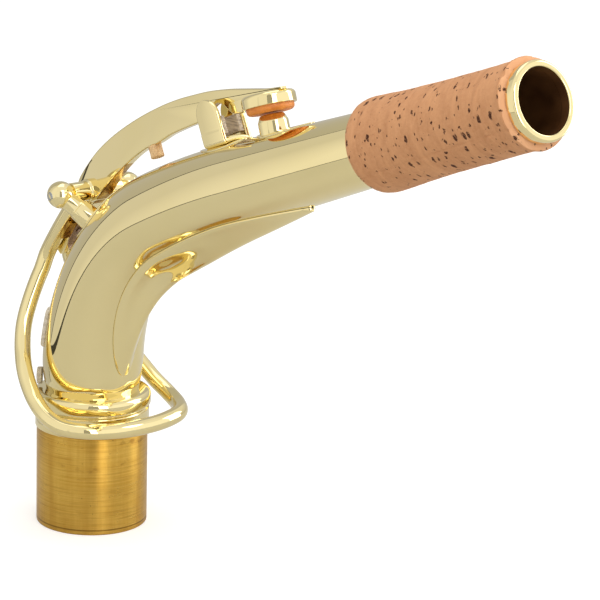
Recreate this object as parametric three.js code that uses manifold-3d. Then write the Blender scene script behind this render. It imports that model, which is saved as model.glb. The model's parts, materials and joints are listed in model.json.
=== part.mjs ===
// Neck of an alto saxophone with its octave key, at rest with the key shut.
// Millimetres. The tenon's axis is Z, its lower end is at Z = 0, the mouthpiece end points
// towards +X, and the neck is symmetric about the plane Y = 0.
import * as THREE from "three";
import { mergeVertices } from "three/addons/utils/BufferGeometryUtils.js";
import Module from "manifold-3d";

const wasm = await Module();
wasm.setup();

// Clearances, and how far a cutter runs past what it cuts
const fitGap = 0.3;
const runningGap = 0.15;
const overrun = 1;

// Centreline of the neck: a straight rise, a tight bend, a slow bend, a straight run
const riseLength = 33.7;
const bendRadius = 45.2;
const bendAngle = THREE.MathUtils.degToRad(62.6);
const sweepRadius = 221;
const sweepAngle = THREE.MathUtils.degToRad(7.4);
const runLength = 88;

// Tapered tube
const tubeBaseRadius = 11.2;
const tubeCorkRadius = 7.3;
const tubeTipRadius = 6.9;
const tubeWall = 0.7;

// Tenon sleeve and its collar
const tenonLength = 22;
const tenonRadius = 12.25;
const tenonLipHeight = 2;
const tenonLipWall = 1.7;
const collarHeight = 8.5;
const collarBandRadius = 12.55;
const collarBeadRadius = 12.9;
const collarBeadHeight = 3.6;
const collarBeadRounding = 1.3;
const collarGroove = 0.55;

// Mouthpiece cork and tip ring
const corkLength = 43;
const corkStartRadius = 9.3;
const corkEndRadius = 8.35;
const corkRounding = 1.4;
const corkLipRadius = 8.75;
const corkLipLength = 0.6;
const tipRingLength = 2.2;
const tipRingRadius = 7.55;
const tipRingRounding = 0.7;

// Stiffening sheet on the inside of the bend
const braceStart = 36.3;
const braceLength = 95;
const braceThickness = 0.7;
const braceRise = 3.5;
const braceWidestShare = 0.7;
const braceHighestShare = 0.38;
const braceSwell = 0.5;
const braceFall = 0.8;
const braceHalfAngle = THREE.MathUtils.degToRad(35);

// Hinge of the octave key: its axis lies across the neck, above the outside of the bend
const hingeStation = 67.1;
const hingeRise = 5.7;
const ballSpread = 8.9;
const ballRadius = 2.95;
const postFootRadius = 2.75;
const postNeckRadius = 2;
const postStepHeight = 0.5;
const rodRadius = 0.95;
const rodSlotWidth = 0.35;
const rodSlotDepth = 0.6;
const hingeTubeRadius = 2.2;
const hingeTubeEnd = 4.9;
const hingeShoulderRadius = 2.6;
const hingeShoulderWidth = 0.7;

// Lever plate of the key
const armThickness = 2;
const armHeight = 7.6;
const armClearance = 4.2;
const armTailWidth = 3.4;
const armTailShare = 0.1;

// Pad, cup and the pip that the pad shuts
const pipStation = 124.6;
const pipBaseRadius = 3;
const pipTopRadius = 2.4;
const pipHeight = 2.5;
const pipShankRadius = 1.5;
const pipBoreRadius = 0.8;
const padRadius = 4.8;
const padThickness = 3.2;
const padShowing = 1.35;
const cupWall = 0.45;
const cupRounding = 0.9;

// Guide that keeps the lever in line
const guideStation = 109.3;
const guideWidth = 6.5;
const guideOpening = 5.3;
const guideThickness = 1.1;
const guideHeight = 9.5;
const linerThickness = 0.9;
const linerHeight = 4.2;

// Plates that the pip, the guide and the posts are soldered to
const saddleThickness = 0.5;
const pipSaddleLength = 16.6;
const pipSaddleHalfWidth = 4.4;
const guideSaddleLength = 15;
const guideSaddleHalfWidth = 4.7;
const postSaddleStartReach = 7.6;
const postSaddleLength = 16;
const postSaddleHalfWidth = 9;
const leafEndShare = 0.05;
const saddleSwell = 0.55;

// Octave loop: a round rod about the tenon, both ends brazed beside the lever's tail
const loopRodRadius = 1.8;
const loopFrontReach = 16.8;
const loopFrontHeight = 25.2;
const loopHalfWidth = 16.5;
const loopBackReach = 13.3;
const loopTailReach = 29;

// Cork under the lever, cork strips on the tube, and the side disc
const bumperStation = 86.6;
const bumperRadius = 1.6;
const bumperLength = 2.6;
const bumperEdgeShare = 0.07;
const stopStation = 42.6;
const stopLength = 6.6;
const stopWidth = 5;
const stopThickness = 1.3;
const stopAngle = THREE.MathUtils.degToRad(48);
const sideRestRadius = 1.9;
const sideRestThickness = 0.9;

// Leaf spring, the plate that carries it and its screw
const springWidth = 3.6;
const springThickness = 0.3;
const springTipReach = 12.6;
const springPlateShare = 0.06;
const springPlateLength = 5.2;
const springPlateWidth = 8.4;
const springPlateThickness = 0.6;
const screwRadius = 0.6;
const screwHeadRadius = 1.2;
const screwHeadHeight = 0.5;

// Fineness of the round work
const tubeSides = 40;
const turnedSides = 20;
const rodSides = 12;
const loopSteps = 76;
const braceRows = 24;
const saddleRows = 12;
const bendStep = THREE.MathUtils.degToRad(6.3);

// Stations along the centreline
const bendEnd = riseLength + bendRadius * bendAngle;
const sweepEnd = bendEnd + sweepRadius * sweepAngle;
const neckLength = sweepEnd + runLength;
const tipRingBack = neckLength - tipRingLength;
const corkEnd = tipRingBack - fitGap;
const corkStart = corkEnd - corkLength;
const tubeStart = tenonLipHeight;
const sideRestStation = tenonLength + collarHeight + fitGap + sideRestRadius;
const springTipStation = hingeStation - springTipReach;
const tubeEnd = tipRingBack - fitGap;

// Materials
const lacqueredBrass = { color: 0xd8c68a, roughness: 0.12, metalness: 1 };
const rawBrass = { color: 0xb8893c, roughness: 0.42, metalness: 1 };
const steel = { color: 0xa6a8a8, roughness: 0.3, metalness: 1 };
const naturalCork = { color: 0xc98f66, roughness: 0.85, metalness: 0 };
const padLeather = { color: 0xb9622c, roughness: 0.7, metalness: 0 };

function mixed(a, b, share) {
  return a + (b - a) * share;
}

// Point of the centreline at a station, with the lean of its tangent from the vertical
function centreline(station) {
  const onBend = THREE.MathUtils.clamp((station - riseLength) / bendRadius, 0, bendAngle);
  const onSweep = THREE.MathUtils.clamp((station - bendEnd) / sweepRadius, 0, sweepAngle);
  const lean = onBend + onSweep;
  const straight = Math.min(station, riseLength);
  const beyond = Math.max(station - sweepEnd, 0);
  const x = bendRadius * (1 - Math.cos(onBend))
    + sweepRadius * (Math.cos(onBend) - Math.cos(lean))
    + beyond * Math.sin(lean);
  const z = straight + bendRadius * Math.sin(onBend)
    + sweepRadius * (Math.sin(lean) - Math.sin(onBend))
    + beyond * Math.cos(lean);
  return { x, z, lean };
}

// Point beside the centreline: out is measured towards the outside of the bend
function besideNeck(station, out, across) {
  const { x, z, lean } = centreline(station);
  return new THREE.Vector3(x - out * Math.cos(lean), across, z + out * Math.sin(lean));
}

function tubeRadius(station) {
  if (station <= riseLength) return tubeBaseRadius;
  if (station <= corkStart) {
    const share = (station - riseLength) / (corkStart - riseLength);
    return mixed(tubeBaseRadius, tubeCorkRadius, share);
  }
  const share = (station - corkStart) / (neckLength - corkStart);
  return mixed(tubeCorkRadius, tubeTipRadius, share);
}

// Moves a straight shape, made with X out, Y along and Z across, onto the curved neck
function bendAlongNeck(geometry) {
  const position = geometry.attributes.position;
  for (let i = 0; i < position.count; i += 1) {
    const point = besideNeck(position.getY(i), position.getX(i), position.getZ(i));
    position.setXYZ(i, point.x, point.y, point.z);
  }
  return geometry;
}

// Places a shape whose Y axis points away from the neck, with its origin on the centreline
function standOnNeck(geometry, station, tilt = 0) {
  const { x, z, lean } = centreline(station);
  const along = new THREE.Vector3(Math.sin(lean), 0, Math.cos(lean));
  const out = new THREE.Vector3(-Math.cos(lean), 0, Math.sin(lean)).applyAxisAngle(along, tilt);
  const side = new THREE.Vector3().crossVectors(along, out);
  const frame = new THREE.Matrix4().makeBasis(along, out, side).setPosition(x, 0, z);
  return geometry.applyMatrix4(frame);
}

// Stations from one place to another, close enough together for the bends
function stations(from, to) {
  const marks = [riseLength, bendEnd, sweepEnd, corkStart];
  const bendCount = Math.ceil(bendAngle / bendStep);
  for (let i = 1; i < bendCount; i += 1) marks.push(mixed(riseLength, bendEnd, i / bendCount));
  const sweepCount = Math.ceil(sweepAngle / bendStep) + 1;
  for (let i = 1; i < sweepCount; i += 1) marks.push(mixed(bendEnd, sweepEnd, i / sweepCount));
  const inside = marks.filter((mark) => mark > from + fitGap && mark < to - fitGap);
  return [from, ...inside.sort((a, b) => a - b), to];
}

function turned(profile, sides = turnedSides) {
  const points = profile.map(([radius, height]) => new THREE.Vector2(radius, height));
  return new THREE.LatheGeometry(points, sides);
}

function closedTurned(profile, sides = turnedSides) {
  return turned([...profile, profile[0]], sides);
}

// Quarter round of a profile, from one direction to another, about a centre
function roundCorner(centreRadius, centreHeight, radius, fromDegrees, toDegrees, steps) {
  const points = [];
  for (let i = 0; i <= steps; i += 1) {
    const angle = THREE.MathUtils.degToRad(mixed(fromDegrees, toDegrees, i / steps));
    points.push([centreRadius + radius * Math.cos(angle), centreHeight + radius * Math.sin(angle)]);
  }
  return points;
}

// Solid between an outer and an inner grid of points, [along][across]
function sheetSolid(outer, inner) {
  const rows = outer.length;
  const columns = outer[0].length;
  const points = [...outer.flat(), ...inner.flat()];
  const index = [];
  const at = (layer, i, j) => layer * rows * columns + i * columns + j;
  const quad = (a, b, c, d) => index.push(a, b, c, a, c, d);
  for (let i = 0; i < rows - 1; i += 1) {
    for (let j = 0; j < columns - 1; j += 1) {
      quad(at(0, i, j), at(0, i + 1, j), at(0, i + 1, j + 1), at(0, i, j + 1));
      quad(at(1, i, j), at(1, i, j + 1), at(1, i + 1, j + 1), at(1, i + 1, j));
    }
    const last = columns - 1;
    quad(at(0, i, 0), at(1, i, 0), at(1, i + 1, 0), at(0, i + 1, 0));
    quad(at(0, i, last), at(0, i + 1, last), at(1, i + 1, last), at(1, i, last));
  }
  for (let j = 0; j < columns - 1; j += 1) {
    const last = rows - 1;
    quad(at(0, 0, j), at(0, 0, j + 1), at(1, 0, j + 1), at(1, 0, j));
    quad(at(0, last, j), at(1, last, j), at(1, last, j + 1), at(0, last, j + 1));
  }
  const geometry = new THREE.BufferGeometry();
  geometry.setAttribute("position", new THREE.Float32BufferAttribute(points.flat(), 3));
  geometry.setIndex(index);
  return geometry;
}

function toSolid(geometry) {
  const bare = geometry.clone();
  bare.deleteAttribute("normal");
  bare.deleteAttribute("uv");
  const merged = mergeVertices(bare);
  const vertProperties = new Float32Array(merged.attributes.position.array);
  const triVerts = new Uint32Array(merged.index.array);
  return new wasm.Manifold(new wasm.Mesh({ numProp: 3, vertProperties, triVerts }));
}

function fromSolid(solid) {
  const { vertProperties, triVerts } = solid.getMesh();
  const geometry = new THREE.BufferGeometry();
  geometry.setAttribute("position", new THREE.BufferAttribute(vertProperties, 3));
  geometry.setIndex(new THREE.BufferAttribute(triVerts, 1));
  return geometry;
}

function cut(geometry, ...cutters) {
  return fromSolid(cutters.reduce((solid, cutter) => solid.subtract(toSolid(cutter)), toSolid(geometry)));
}

function common(first, second) {
  return fromSolid(toSolid(first).intersect(toSolid(second)));
}

// Outline in the plane of the neck, thick across it
function acrossPlate(outline, thickness) {
  const shape = new THREE.Shape(outline.map((point) => new THREE.Vector2(point.x, point.z)));
  const geometry = new THREE.ExtrudeGeometry(shape, { depth: thickness, bevelEnabled: false });
  geometry.translate(0, 0, -thickness / 2);
  return geometry.rotateX(Math.PI / 2);
}

// Round shape about the hinge's axis, its heights measured across the neck
function hingeTurned(profile, sides = turnedSides) {
  const axis = besideNeck(hingeStation, hingeOut, 0);
  return turned(profile, sides).translate(axis.x, 0, axis.z);
}

// Plain rod on the hinge's axis, from one place across the neck to another
function acrossRod(radius, first, second) {
  const low = Math.min(first, second);
  const high = Math.max(first, second);
  return hingeTurned([[0, low], [radius, low], [radius, high], [0, high]]);
}

const hingeOut = tubeRadius(hingeStation) + hingeRise;

// Tenon, collar, tube, cork and ring
function tenonGeometry() {
  const seat = tubeBaseRadius + fitGap;
  const lip = tenonRadius - tenonLipWall;
  const profile = [[lip, 0], [tenonRadius, 0], [tenonRadius, tenonLength], [seat, tenonLength],
    [seat, tenonLipHeight], [lip, tenonLipHeight]];
  return closedTurned(profile, tubeSides).rotateX(Math.PI / 2);
}

function collarGeometry() {
  const top = tenonLength + collarHeight;
  const beadBottom = top - collarBeadHeight;
  const inner = tubeBaseRadius + fitGap;
  const shoulder = collarBeadRadius - collarBeadRounding;
  const round = collarBeadRounding;
  const bead = [...roundCorner(shoulder, beadBottom + round, round, -60, 0, 3),
    ...roundCorner(shoulder, top - round, round, 0, 90, 4)];
  const profile = [[inner, tenonLength], [collarBandRadius, tenonLength],
    [collarBandRadius, beadBottom - collarGroove],
    [collarBandRadius - collarGroove, beadBottom], ...bead, [inner, top]];
  return closedTurned(profile, tubeSides).rotateX(Math.PI / 2);
}

function pipHole(radius) {
  const depth = tubeWall + saddleThickness + pipHeight;
  const hole = new THREE.CylinderGeometry(radius, radius, depth + overrun, turnedSides);
  hole.translate(0, tubeRadius(pipStation), 0);
  return standOnNeck(hole, pipStation);
}

function tubeGeometry() {
  const outside = stations(tubeStart, tubeEnd).map((station) => [tubeRadius(station), station]);
  const inside = outside.map(([radius, station]) => [radius - tubeWall, station]).reverse();
  const shell = bendAlongNeck(closedTurned([...outside, ...inside], tubeSides));
  return cut(shell, pipHole(pipShankRadius + fitGap));
}

function corkGeometry() {
  const inner = (station) => tubeRadius(station) + fitGap;
  const shoulder = corkStartRadius - corkRounding;
  const start = roundCorner(shoulder, corkStart + corkRounding, corkRounding, -90, 0, 3);
  const lip = corkEnd - corkLipLength;
  const end = [[corkEndRadius, lip - corkLipLength], [corkLipRadius, lip], [tipRingRadius, corkEnd]];
  const profile = [[inner(corkStart), corkStart], ...start, ...end, [inner(corkEnd), corkEnd]];
  return bendAlongNeck(closedTurned(profile, tubeSides));
}

function tipRingGeometry() {
  const bore = tubeTipRadius - tubeWall;
  const shoulder = tipRingRadius - tipRingRounding;
  const front = roundCorner(shoulder, neckLength - tipRingRounding, tipRingRounding, 0, 90, 4);
  const profile = [[bore, tipRingBack], [tipRingRadius, tipRingBack], ...front, [bore, neckLength]];
  return bendAlongNeck(closedTurned(profile, tubeSides));
}

// Leaf that follows the tube: its half-width and rise are given along and across
function leafGeometry(leaf) {
  const outer = [];
  const inner = [];
  const places = leafPlaces(leaf.start, leaf.length, leaf.rows);
  for (const station of places) {
    const along = (station - leaf.start) / leaf.length;
    const halfAngle = leaf.halfAngle(along);
    const outerRow = [];
    const innerRow = [];
    for (let j = 0; j <= leaf.columns; j += 1) {
      const across = mixed(-1, 1, j / leaf.columns);
      const angle = leaf.centreAngle + halfAngle * across;
      const under = tubeRadius(station) + fitGap + leaf.lift(along, across);
      const over = under + leaf.thickness;
      outerRow.push([over * Math.cos(angle), station, over * Math.sin(angle)]);
      innerRow.push([under * Math.cos(angle), station, under * Math.sin(angle)]);
    }
    outer.push(outerRow);
    inner.push(innerRow);
  }
  return bendAlongNeck(sheetSolid(outer, inner));
}

// Stations of a leaf, closer together towards its ends
function leafPlaces(start, length, rows) {
  const places = [];
  for (let i = 0; i <= rows; i += 1) {
    places.push(start + length * (1 - Math.cos(Math.PI * i / rows)) / 2);
  }
  return places;
}

function leafWidth(along, peakShare, power) {
  const share = along < peakShare ? along / peakShare : (1 - along) / (1 - peakShare);
  const swell = Math.sin(Math.PI / 2 * THREE.MathUtils.clamp(share, 0, 1));
  return leafEndShare + (1 - leafEndShare) * swell ** power;
}

function braceGeometry() {
  const lift = (along, across) => {
    const rising = THREE.MathUtils.clamp(along / braceHighestShare, 0, 1);
    const falling = THREE.MathUtils.clamp((1 - along) / (1 - braceHighestShare), 0, 1);
    return braceRise * Math.min(rising, falling) ** braceFall * Math.cos(Math.PI / 2 * across);
  };
  return leafGeometry({
    start: braceStart,
    length: braceLength,
    rows: braceRows,
    columns: 10,
    centreAngle: Math.PI,
    thickness: braceThickness,
    halfAngle: (along) => braceHalfAngle * leafWidth(along, braceWidestShare, braceSwell),
    lift,
  });
}

const flatOnTube = () => 0;

function saddleGeometry(start, length, halfWidth, widestShare, columns) {
  const halfAngle = halfWidth / (tubeRadius(start + length * widestShare) + fitGap);
  return leafGeometry({
    start,
    length,
    rows: saddleRows,
    columns,
    centreAngle: 0,
    thickness: saddleThickness,
    halfAngle: (along) => halfAngle * leafWidth(along, widestShare, saddleSwell),
    lift: flatOnTube,
  });
}

// Pip, its saddle, the pad and its cup
const pipSaddleStart = pipStation - pipBaseRadius - fitGap - overrun;
const pipSeat = tubeRadius(pipStation) + fitGap + saddleThickness;
const pipTop = pipSeat + fitGap + pipHeight;
const padBottom = pipTop + fitGap;
const cupRim = padBottom + padShowing;
const cupTop = padBottom + padThickness + fitGap + cupWall;
const cupRadius = padRadius + fitGap + cupWall;

function pipSaddleGeometry() {
  const widestShare = (pipStation - pipSaddleStart) / pipSaddleLength;
  const plate = saddleGeometry(pipSaddleStart, pipSaddleLength, pipSaddleHalfWidth, widestShare, 8);
  return cut(plate, pipHole(pipShankRadius + fitGap));
}

function pipGeometry() {
  const foot = pipSeat + fitGap;
  const shankEnd = tubeRadius(pipStation) - tubeWall;
  const rounding = (pipBaseRadius - pipTopRadius);
  const top = roundCorner(pipTopRadius - rounding, pipTop - rounding, rounding, 0, 90, 3);
  const profile = [[pipBoreRadius, shankEnd], [pipShankRadius, shankEnd], [pipShankRadius, foot],
    [pipBaseRadius, foot], [pipBaseRadius, foot + rounding], [pipTopRadius, foot + 2 * rounding],
    ...top, [pipBoreRadius, pipTop]];
  return standOnNeck(closedTurned(profile), pipStation);
}

function padGeometry() {
  const rounding = padShowing / 2;
  const bottom = roundCorner(padRadius - rounding, padBottom + rounding, rounding, -90, 0, 3);
  const top = padBottom + padThickness;
  const profile = [[0, padBottom], ...bottom, [padRadius, top], [0, top]];
  return standOnNeck(turned(profile), pipStation);
}

function cupGeometry() {
  const inside = padRadius + fitGap;
  const corner = roundCorner(cupRadius - cupRounding, cupTop - cupRounding, cupRounding, 0, 90, 4);
  const ceiling = cupTop - cupWall;
  const hollow = [[0, ceiling], [inside, ceiling], [inside, cupRim]];
  const profile = [...hollow, [cupRadius, cupRim], ...corner, [0, cupTop]];
  return standOnNeck(turned(profile), pipStation);
}

// Guide fork: a U across the neck with round-topped tines, cut to the curve of its saddle
const guideSaddleStart = guideStation - guideSaddleLength / 2;
const guideSeat = tubeRadius(guideSaddleStart) + fitGap + saddleThickness + fitGap;
const guideTop = tubeRadius(guideStation) + guideHeight;
const guideFloor = guideSeat + guideThickness;

function guideForkGeometry() {
  const inner = guideOpening / 2;
  const outer = inner + guideThickness;
  const section = new THREE.Shape();
  const seatAngle = Math.asin(outer / guideSeat);
  section.absarc(0, 0, guideSeat, Math.PI / 2 + seatAngle, Math.PI / 2 - seatAngle, true);
  section.lineTo(outer, guideTop);
  section.lineTo(inner, guideTop);
  section.lineTo(inner, guideFloor);
  section.lineTo(-inner, guideFloor);
  section.lineTo(-inner, guideTop);
  section.lineTo(-outer, guideTop);
  const along = { depth: guideWidth, bevelEnabled: false, curveSegments: 8 };
  const channel = new THREE.ExtrudeGeometry(section, along);
  channel.translate(0, 0, -guideWidth / 2).rotateY(Math.PI / 2);
  const side = new THREE.Shape();
  const half = guideWidth / 2;
  side.moveTo(-half, 0);
  side.lineTo(half, 0);
  side.lineTo(half, guideTop - half);
  side.absarc(0, guideTop - half, half, 0, Math.PI, false);
  const depth = 2 * outer + overrun;
  const tongue = new THREE.ExtrudeGeometry(side, { depth, bevelEnabled: false, curveSegments: 10 });
  tongue.translate(0, 0, -depth / 2);
  return standOnNeck(common(channel, tongue), guideStation);
}

function linerGeometry(side) {
  const length = guideWidth - 2 * fitGap;
  const strip = new THREE.BoxGeometry(length, linerHeight, linerThickness);
  const bottom = guideFloor + fitGap;
  const across = guideOpening / 2 - fitGap - linerThickness / 2;
  strip.translate(0, bottom + linerHeight / 2, -side * across);
  return standOnNeck(strip, guideStation);
}

// Posts with ball heads, leaning out from the tube's axis
const postSaddleStart = hingeStation - postSaddleStartReach;
const postAngle = Math.atan2(ballSpread, hingeOut);
const postReach = Math.hypot(ballSpread, hingeOut);

function postGeometry(side) {
  const foot = tubeRadius(postSaddleStart) + 2 * fitGap + saddleThickness;
  const neckAngle = THREE.MathUtils.radToDeg(Math.acos(postNeckRadius / ballRadius));
  const neckTop = postReach - ballRadius * Math.sin(THREE.MathUtils.degToRad(neckAngle));
  const step = foot + (neckTop - foot) / 2;
  const stepRadius = mixed(postFootRadius, postNeckRadius, 1 / 2);
  const ball = roundCorner(0, postReach, ballRadius, -neckAngle, 90, 9);
  const profile = [[0, foot], [postFootRadius, foot], [stepRadius, step],
    [stepRadius - postStepHeight / 2, step + postStepHeight], [postNeckRadius, neckTop],
    ...ball.slice(1, -1), [0, postReach + ballRadius]];
  const post = standOnNeck(turned(profile), hingeStation, -side * postAngle);
  const reach = side < 0 ? ballSpread + ballRadius + overrun : ballSpread;
  const from = ballSpread - ballRadius - overrun;
  const hole = acrossRod(rodRadius + runningGap, side * from, side * reach);
  return cut(post, hole);
}

function rodGeometry() {
  const near = -ballSpread - ballRadius + fitGap;
  const far = ballSpread - fitGap;
  const rod = acrossRod(rodRadius, near, far);
  const axis = besideNeck(hingeStation, hingeOut, 0);
  const slot = new THREE.BoxGeometry(rodSlotWidth, 2 * rodSlotDepth, 2 * rodRadius + overrun);
  slot.rotateY(Math.PI / 4);
  slot.translate(axis.x, near, axis.z);
  return cut(rod, slot);
}

function hingeTubeGeometry() {
  const bore = rodRadius + runningGap;
  const shoulderStart = armThickness / 2 + fitGap;
  const shoulderEnd = shoulderStart + hingeShoulderWidth;
  const half = [[hingeTubeRadius, shoulderStart], [hingeShoulderRadius, shoulderStart],
    [hingeShoulderRadius, shoulderEnd], [hingeTubeRadius, shoulderEnd + hingeShoulderWidth / 2],
    [hingeTubeRadius, hingeTubeEnd]];
  const mirrored = half.map(([radius, y]) => [radius, -y]).reverse();
  const ends = [[bore, hingeTubeEnd], [bore, -hingeTubeEnd]];
  return hingeTurned([ends[1], ...mirrored, ...half, ...ends]);
}

// Lever plate: outline points by share of the way from the hinge to the pad,
// and by share of the lever's height above its lower edge
const armTopShares = [[-0.06, 0.5], [-0.045, 0.66], [-0.02, 0.77], [0.018, 0.82], [0.09, 0.88],
  [0.178, 0.905], [0.3, 0.953], [0.44, 0.996], [0.534, 0.995], [0.62, 0.963], [0.708, 0.926],
  [0.8, 0.847], [0.887, 0.747], [0.955, 0.665], [1, 0.61]];
const armNotchShares = [[0.89, 0.15], [0.82, 0.18], [0.791, 0.396], [0.772, 0.6], [0.752, 0.672],
  [0.725, 0.65], [0.695, 0.5], [0.665, 0.23]];
const armLowShares = [[0.64, 0.2], [0.53, 0.17], [0.45, 0.14], [0.375, bumperEdgeShare],
  [0.305, bumperEdgeShare], [0.23, 0], [0.135, -0.08], [0.06, -0.13], [-0.02, -0.14]];

function armPoint([share, height]) {
  const station = mixed(hingeStation, pipStation, share);
  return besideNeck(station, tubeRadius(station) + armClearance + armHeight * height, 0);
}

function smoothLine(points, count) {
  return new THREE.CatmullRomCurve3(points, false, "centripetal").getPoints(count);
}

function armGeometry() {
  const seat = cupTop + fitGap;
  const wall = cupRadius + fitGap;
  const bladeEnd = pipStation + cupRadius;
  const top = smoothLine([...armTopShares.map(armPoint), besideNeck(bladeEnd, seat + fitGap, 0)], 36);
  const overCup = [besideNeck(bladeEnd, seat, 0), besideNeck(pipStation - wall, seat, 0)];
  const notch = smoothLine(armNotchShares.map(armPoint), 12);
  const low = smoothLine(armLowShares.map(armPoint), 14);
  const tail = tailOutline();
  const plate = acrossPlate([...top, ...overCup, ...notch, ...low, ...tail], armThickness);
  const eye = hingeTubeRadius + fitGap;
  const half = armThickness / 2 + overrun;
  return cut(plate, acrossRod(eye, -half, half));
}

// Tail of the lever, between the loop's two ends
function tailOutline() {
  const route = loopRoute();
  const end = route.getPoint(1 - armTailShare);
  const middle = route.getPoint(1 - armTailShare / 2);
  const root = route.getPoint(1 - armTailShare / 4);
  const half = armTailWidth / 2;
  const at = (point, towards, side) => {
    const line = new THREE.Vector3().subVectors(towards, point).setY(0).normalize();
    return new THREE.Vector3(point.x + side * line.z * half, 0, point.z - side * line.x * half);
  };
  return [at(root, route.getPoint(1), 1), at(middle, root, 1), at(end, middle, 1), at(end, middle, -1),
    at(middle, root, -1)];
}

// Octave loop: half of its route, from the middle of the front bar round to the back,
// as shares of its front or back reach, half-width and rise to the hinge
const loopShares = [[1, 0, 0], [1, 0.421, 0.007], [0.893, 0.756, 0.016], [0.637, 0.946, 0.023],
  [0.369, 0.998, 0.049], [0.088, 0.979, 0.094], [-0.174, 0.936, 0.15], [-0.414, 0.873, 0.21]];
// Then up the tube's back, as shares of the reach below the hinge, the half-width
// and the hinge's rise over the tube, and the two ends, which run side by side
const loopTailShares = [[1, 0.767, -0.374], [0.905, 0.665, 0.098], [0.838, 0.581, 0.381],
  [0.75, 0.459, 0.692], [0.663, 0.339, 0.955], [0.599, 0.248, 1.14]];
const loopEndShares = [[0.52, 1.291], [0.275, 1.075], [0.066, 1.008]];

function loopRoute() {
  const hinge = besideNeck(hingeStation, hingeOut, 0);
  const rise = hinge.z - loopFrontHeight;
  const beside = armThickness / 2 + fitGap + loopRodRadius;
  const points = loopShares.map(([reach, width, height]) => {
    const x = reach * (reach > 0 ? loopFrontReach : loopBackReach);
    return new THREE.Vector3(x, width * loopHalfWidth, loopFrontHeight + height * rise);
  });
  const onTail = (reach, over, across) => {
    const station = hingeStation - reach * loopTailReach;
    return besideNeck(station, tubeRadius(station) + over * hingeRise, across);
  };
  for (const [reach, width, over] of loopTailShares) {
    points.push(onTail(reach, over, width * loopHalfWidth));
  }
  for (const [reach, over] of loopEndShares) points.push(onTail(reach, over, beside));
  return new THREE.CatmullRomCurve3(points, false, "centripetal");
}

// The near end of the route first, round the front, and back to the hinge on the far side
function loopGeometry() {
  const half = loopRoute().points;
  const near = half.slice(1).map((point) => new THREE.Vector3(point.x, -point.y, point.z)).reverse();
  const route = new THREE.CatmullRomCurve3([...near, ...half], false, "centripetal");
  const section = new THREE.Shape();
  section.absarc(0, 0, loopRodRadius, 0, 2 * Math.PI, false);
  const along = { steps: loopSteps, curveSegments: rodSides / 2, extrudePath: route };
  return new THREE.ExtrudeGeometry(section, along);
}

// Cork under the lever
function bumperGeometry() {
  const top = tubeRadius(bumperStation) + armClearance + armHeight * bumperEdgeShare - fitGap;
  const corner = bumperRadius / 4;
  const bottom = roundCorner(bumperRadius - corner, top - bumperLength + corner, corner, -90, 0, 2);
  const profile = [[0, top - bumperLength], ...bottom, [bumperRadius, top], [0, top]];
  return standOnNeck(turned(profile, rodSides), bumperStation);
}

// Cork strips on the back of the tube, under the sides of the loop
function stopGeometry(side) {
  const halfAngle = stopWidth / 2 / (tubeRadius(stopStation) + fitGap);
  return leafGeometry({
    start: stopStation - stopLength / 2, length: stopLength, rows: 5, columns: 4,
    centreAngle: side * stopAngle, thickness: stopThickness, halfAngle: () => halfAngle, lift: flatOnTube,
  });
}

// Small disc on the side of the tube, above the collar
function sideRestGeometry() {
  const bottom = tubeRadius(sideRestStation) + fitGap;
  const top = bottom + sideRestThickness;
  const profile = [[0, bottom], [sideRestRadius, bottom], [sideRestRadius, top], [0, top]];
  return standOnNeck(turned(profile, rodSides), sideRestStation, stopAngle);
}

// Leaf spring: screwed under a plate across the loop's root, its free end on the tube
function springFrame() {
  const route = loopRoute();
  const centre = route.getPoint(1 - springPlateShare);
  const ahead = route.getPoint(1 - springPlateShare / 2);
  const along = new THREE.Vector3().subVectors(ahead, centre).setY(0).normalize();
  const out = new THREE.Vector3(-along.z, 0, along.x);
  const side = new THREE.Vector3().crossVectors(along, out);
  return { centre: new THREE.Vector3(centre.x, 0, centre.z), along, out, side };
}

const plateDepth = loopRodRadius + fitGap;
const springDepth = plateDepth + springPlateThickness + fitGap;

function placeOnPlate(geometry) {
  const { centre, along, out, side } = springFrame();
  return geometry.applyMatrix4(new THREE.Matrix4().makeBasis(along, out, side).setPosition(centre));
}

function screwHole() {
  const depth = springDepth + springThickness + overrun;
  const radius = screwRadius + runningGap;
  const hole = new THREE.CylinderGeometry(radius, radius, 2 * depth, rodSides);
  return placeOnPlate(hole);
}

function springPlateGeometry() {
  const plate = new THREE.BoxGeometry(springPlateLength, springPlateThickness, springPlateWidth);
  plate.translate(0, -plateDepth - springPlateThickness / 2, 0);
  return cut(placeOnPlate(plate), screwHole());
}

function springScrewGeometry() {
  const head = -springDepth - springThickness - fitGap;
  const end = head - screwHeadHeight;
  const profile = [[0, end], [screwHeadRadius, end], [screwHeadRadius, head], [screwRadius, head],
    [screwRadius, -plateDepth], [0, -plateDepth]];
  return placeOnPlate(turned(profile, rodSides));
}

function springGeometry() {
  const { centre, along, out } = springFrame();
  const at = (forward, depth) => {
    return centre.clone().addScaledVector(along, forward).addScaledVector(out, -depth);
  };
  const tip = besideNeck(springTipStation, tubeRadius(springTipStation) + fitGap + springThickness, 0);
  const root = [at(springPlateLength / 2, springDepth), at(-springPlateLength / 2, springDepth)];
  const curve = new THREE.QuadraticBezierCurve3(root[1], at(-springPlateLength, springDepth), tip);
  const line = [root[0], ...curve.getPoints(8)];
  const outer = line.map((point) => [point.x, point.z]);
  const inner = line.map((point, i) => {
    const before = line[Math.max(i - 1, 0)];
    const after = line[Math.min(i + 1, line.length - 1)];
    const step = Math.hypot(after.x - before.x, after.z - before.z);
    const across = springThickness / step;
    return [point.x - (after.z - before.z) * across, point.z + (after.x - before.x) * across];
  });
  const outline = [...outer, ...inner.reverse()].map(([x, z]) => new THREE.Vector3(x, 0, z));
  return cut(acrossPlate(outline, springWidth), screwHole());
}

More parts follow.
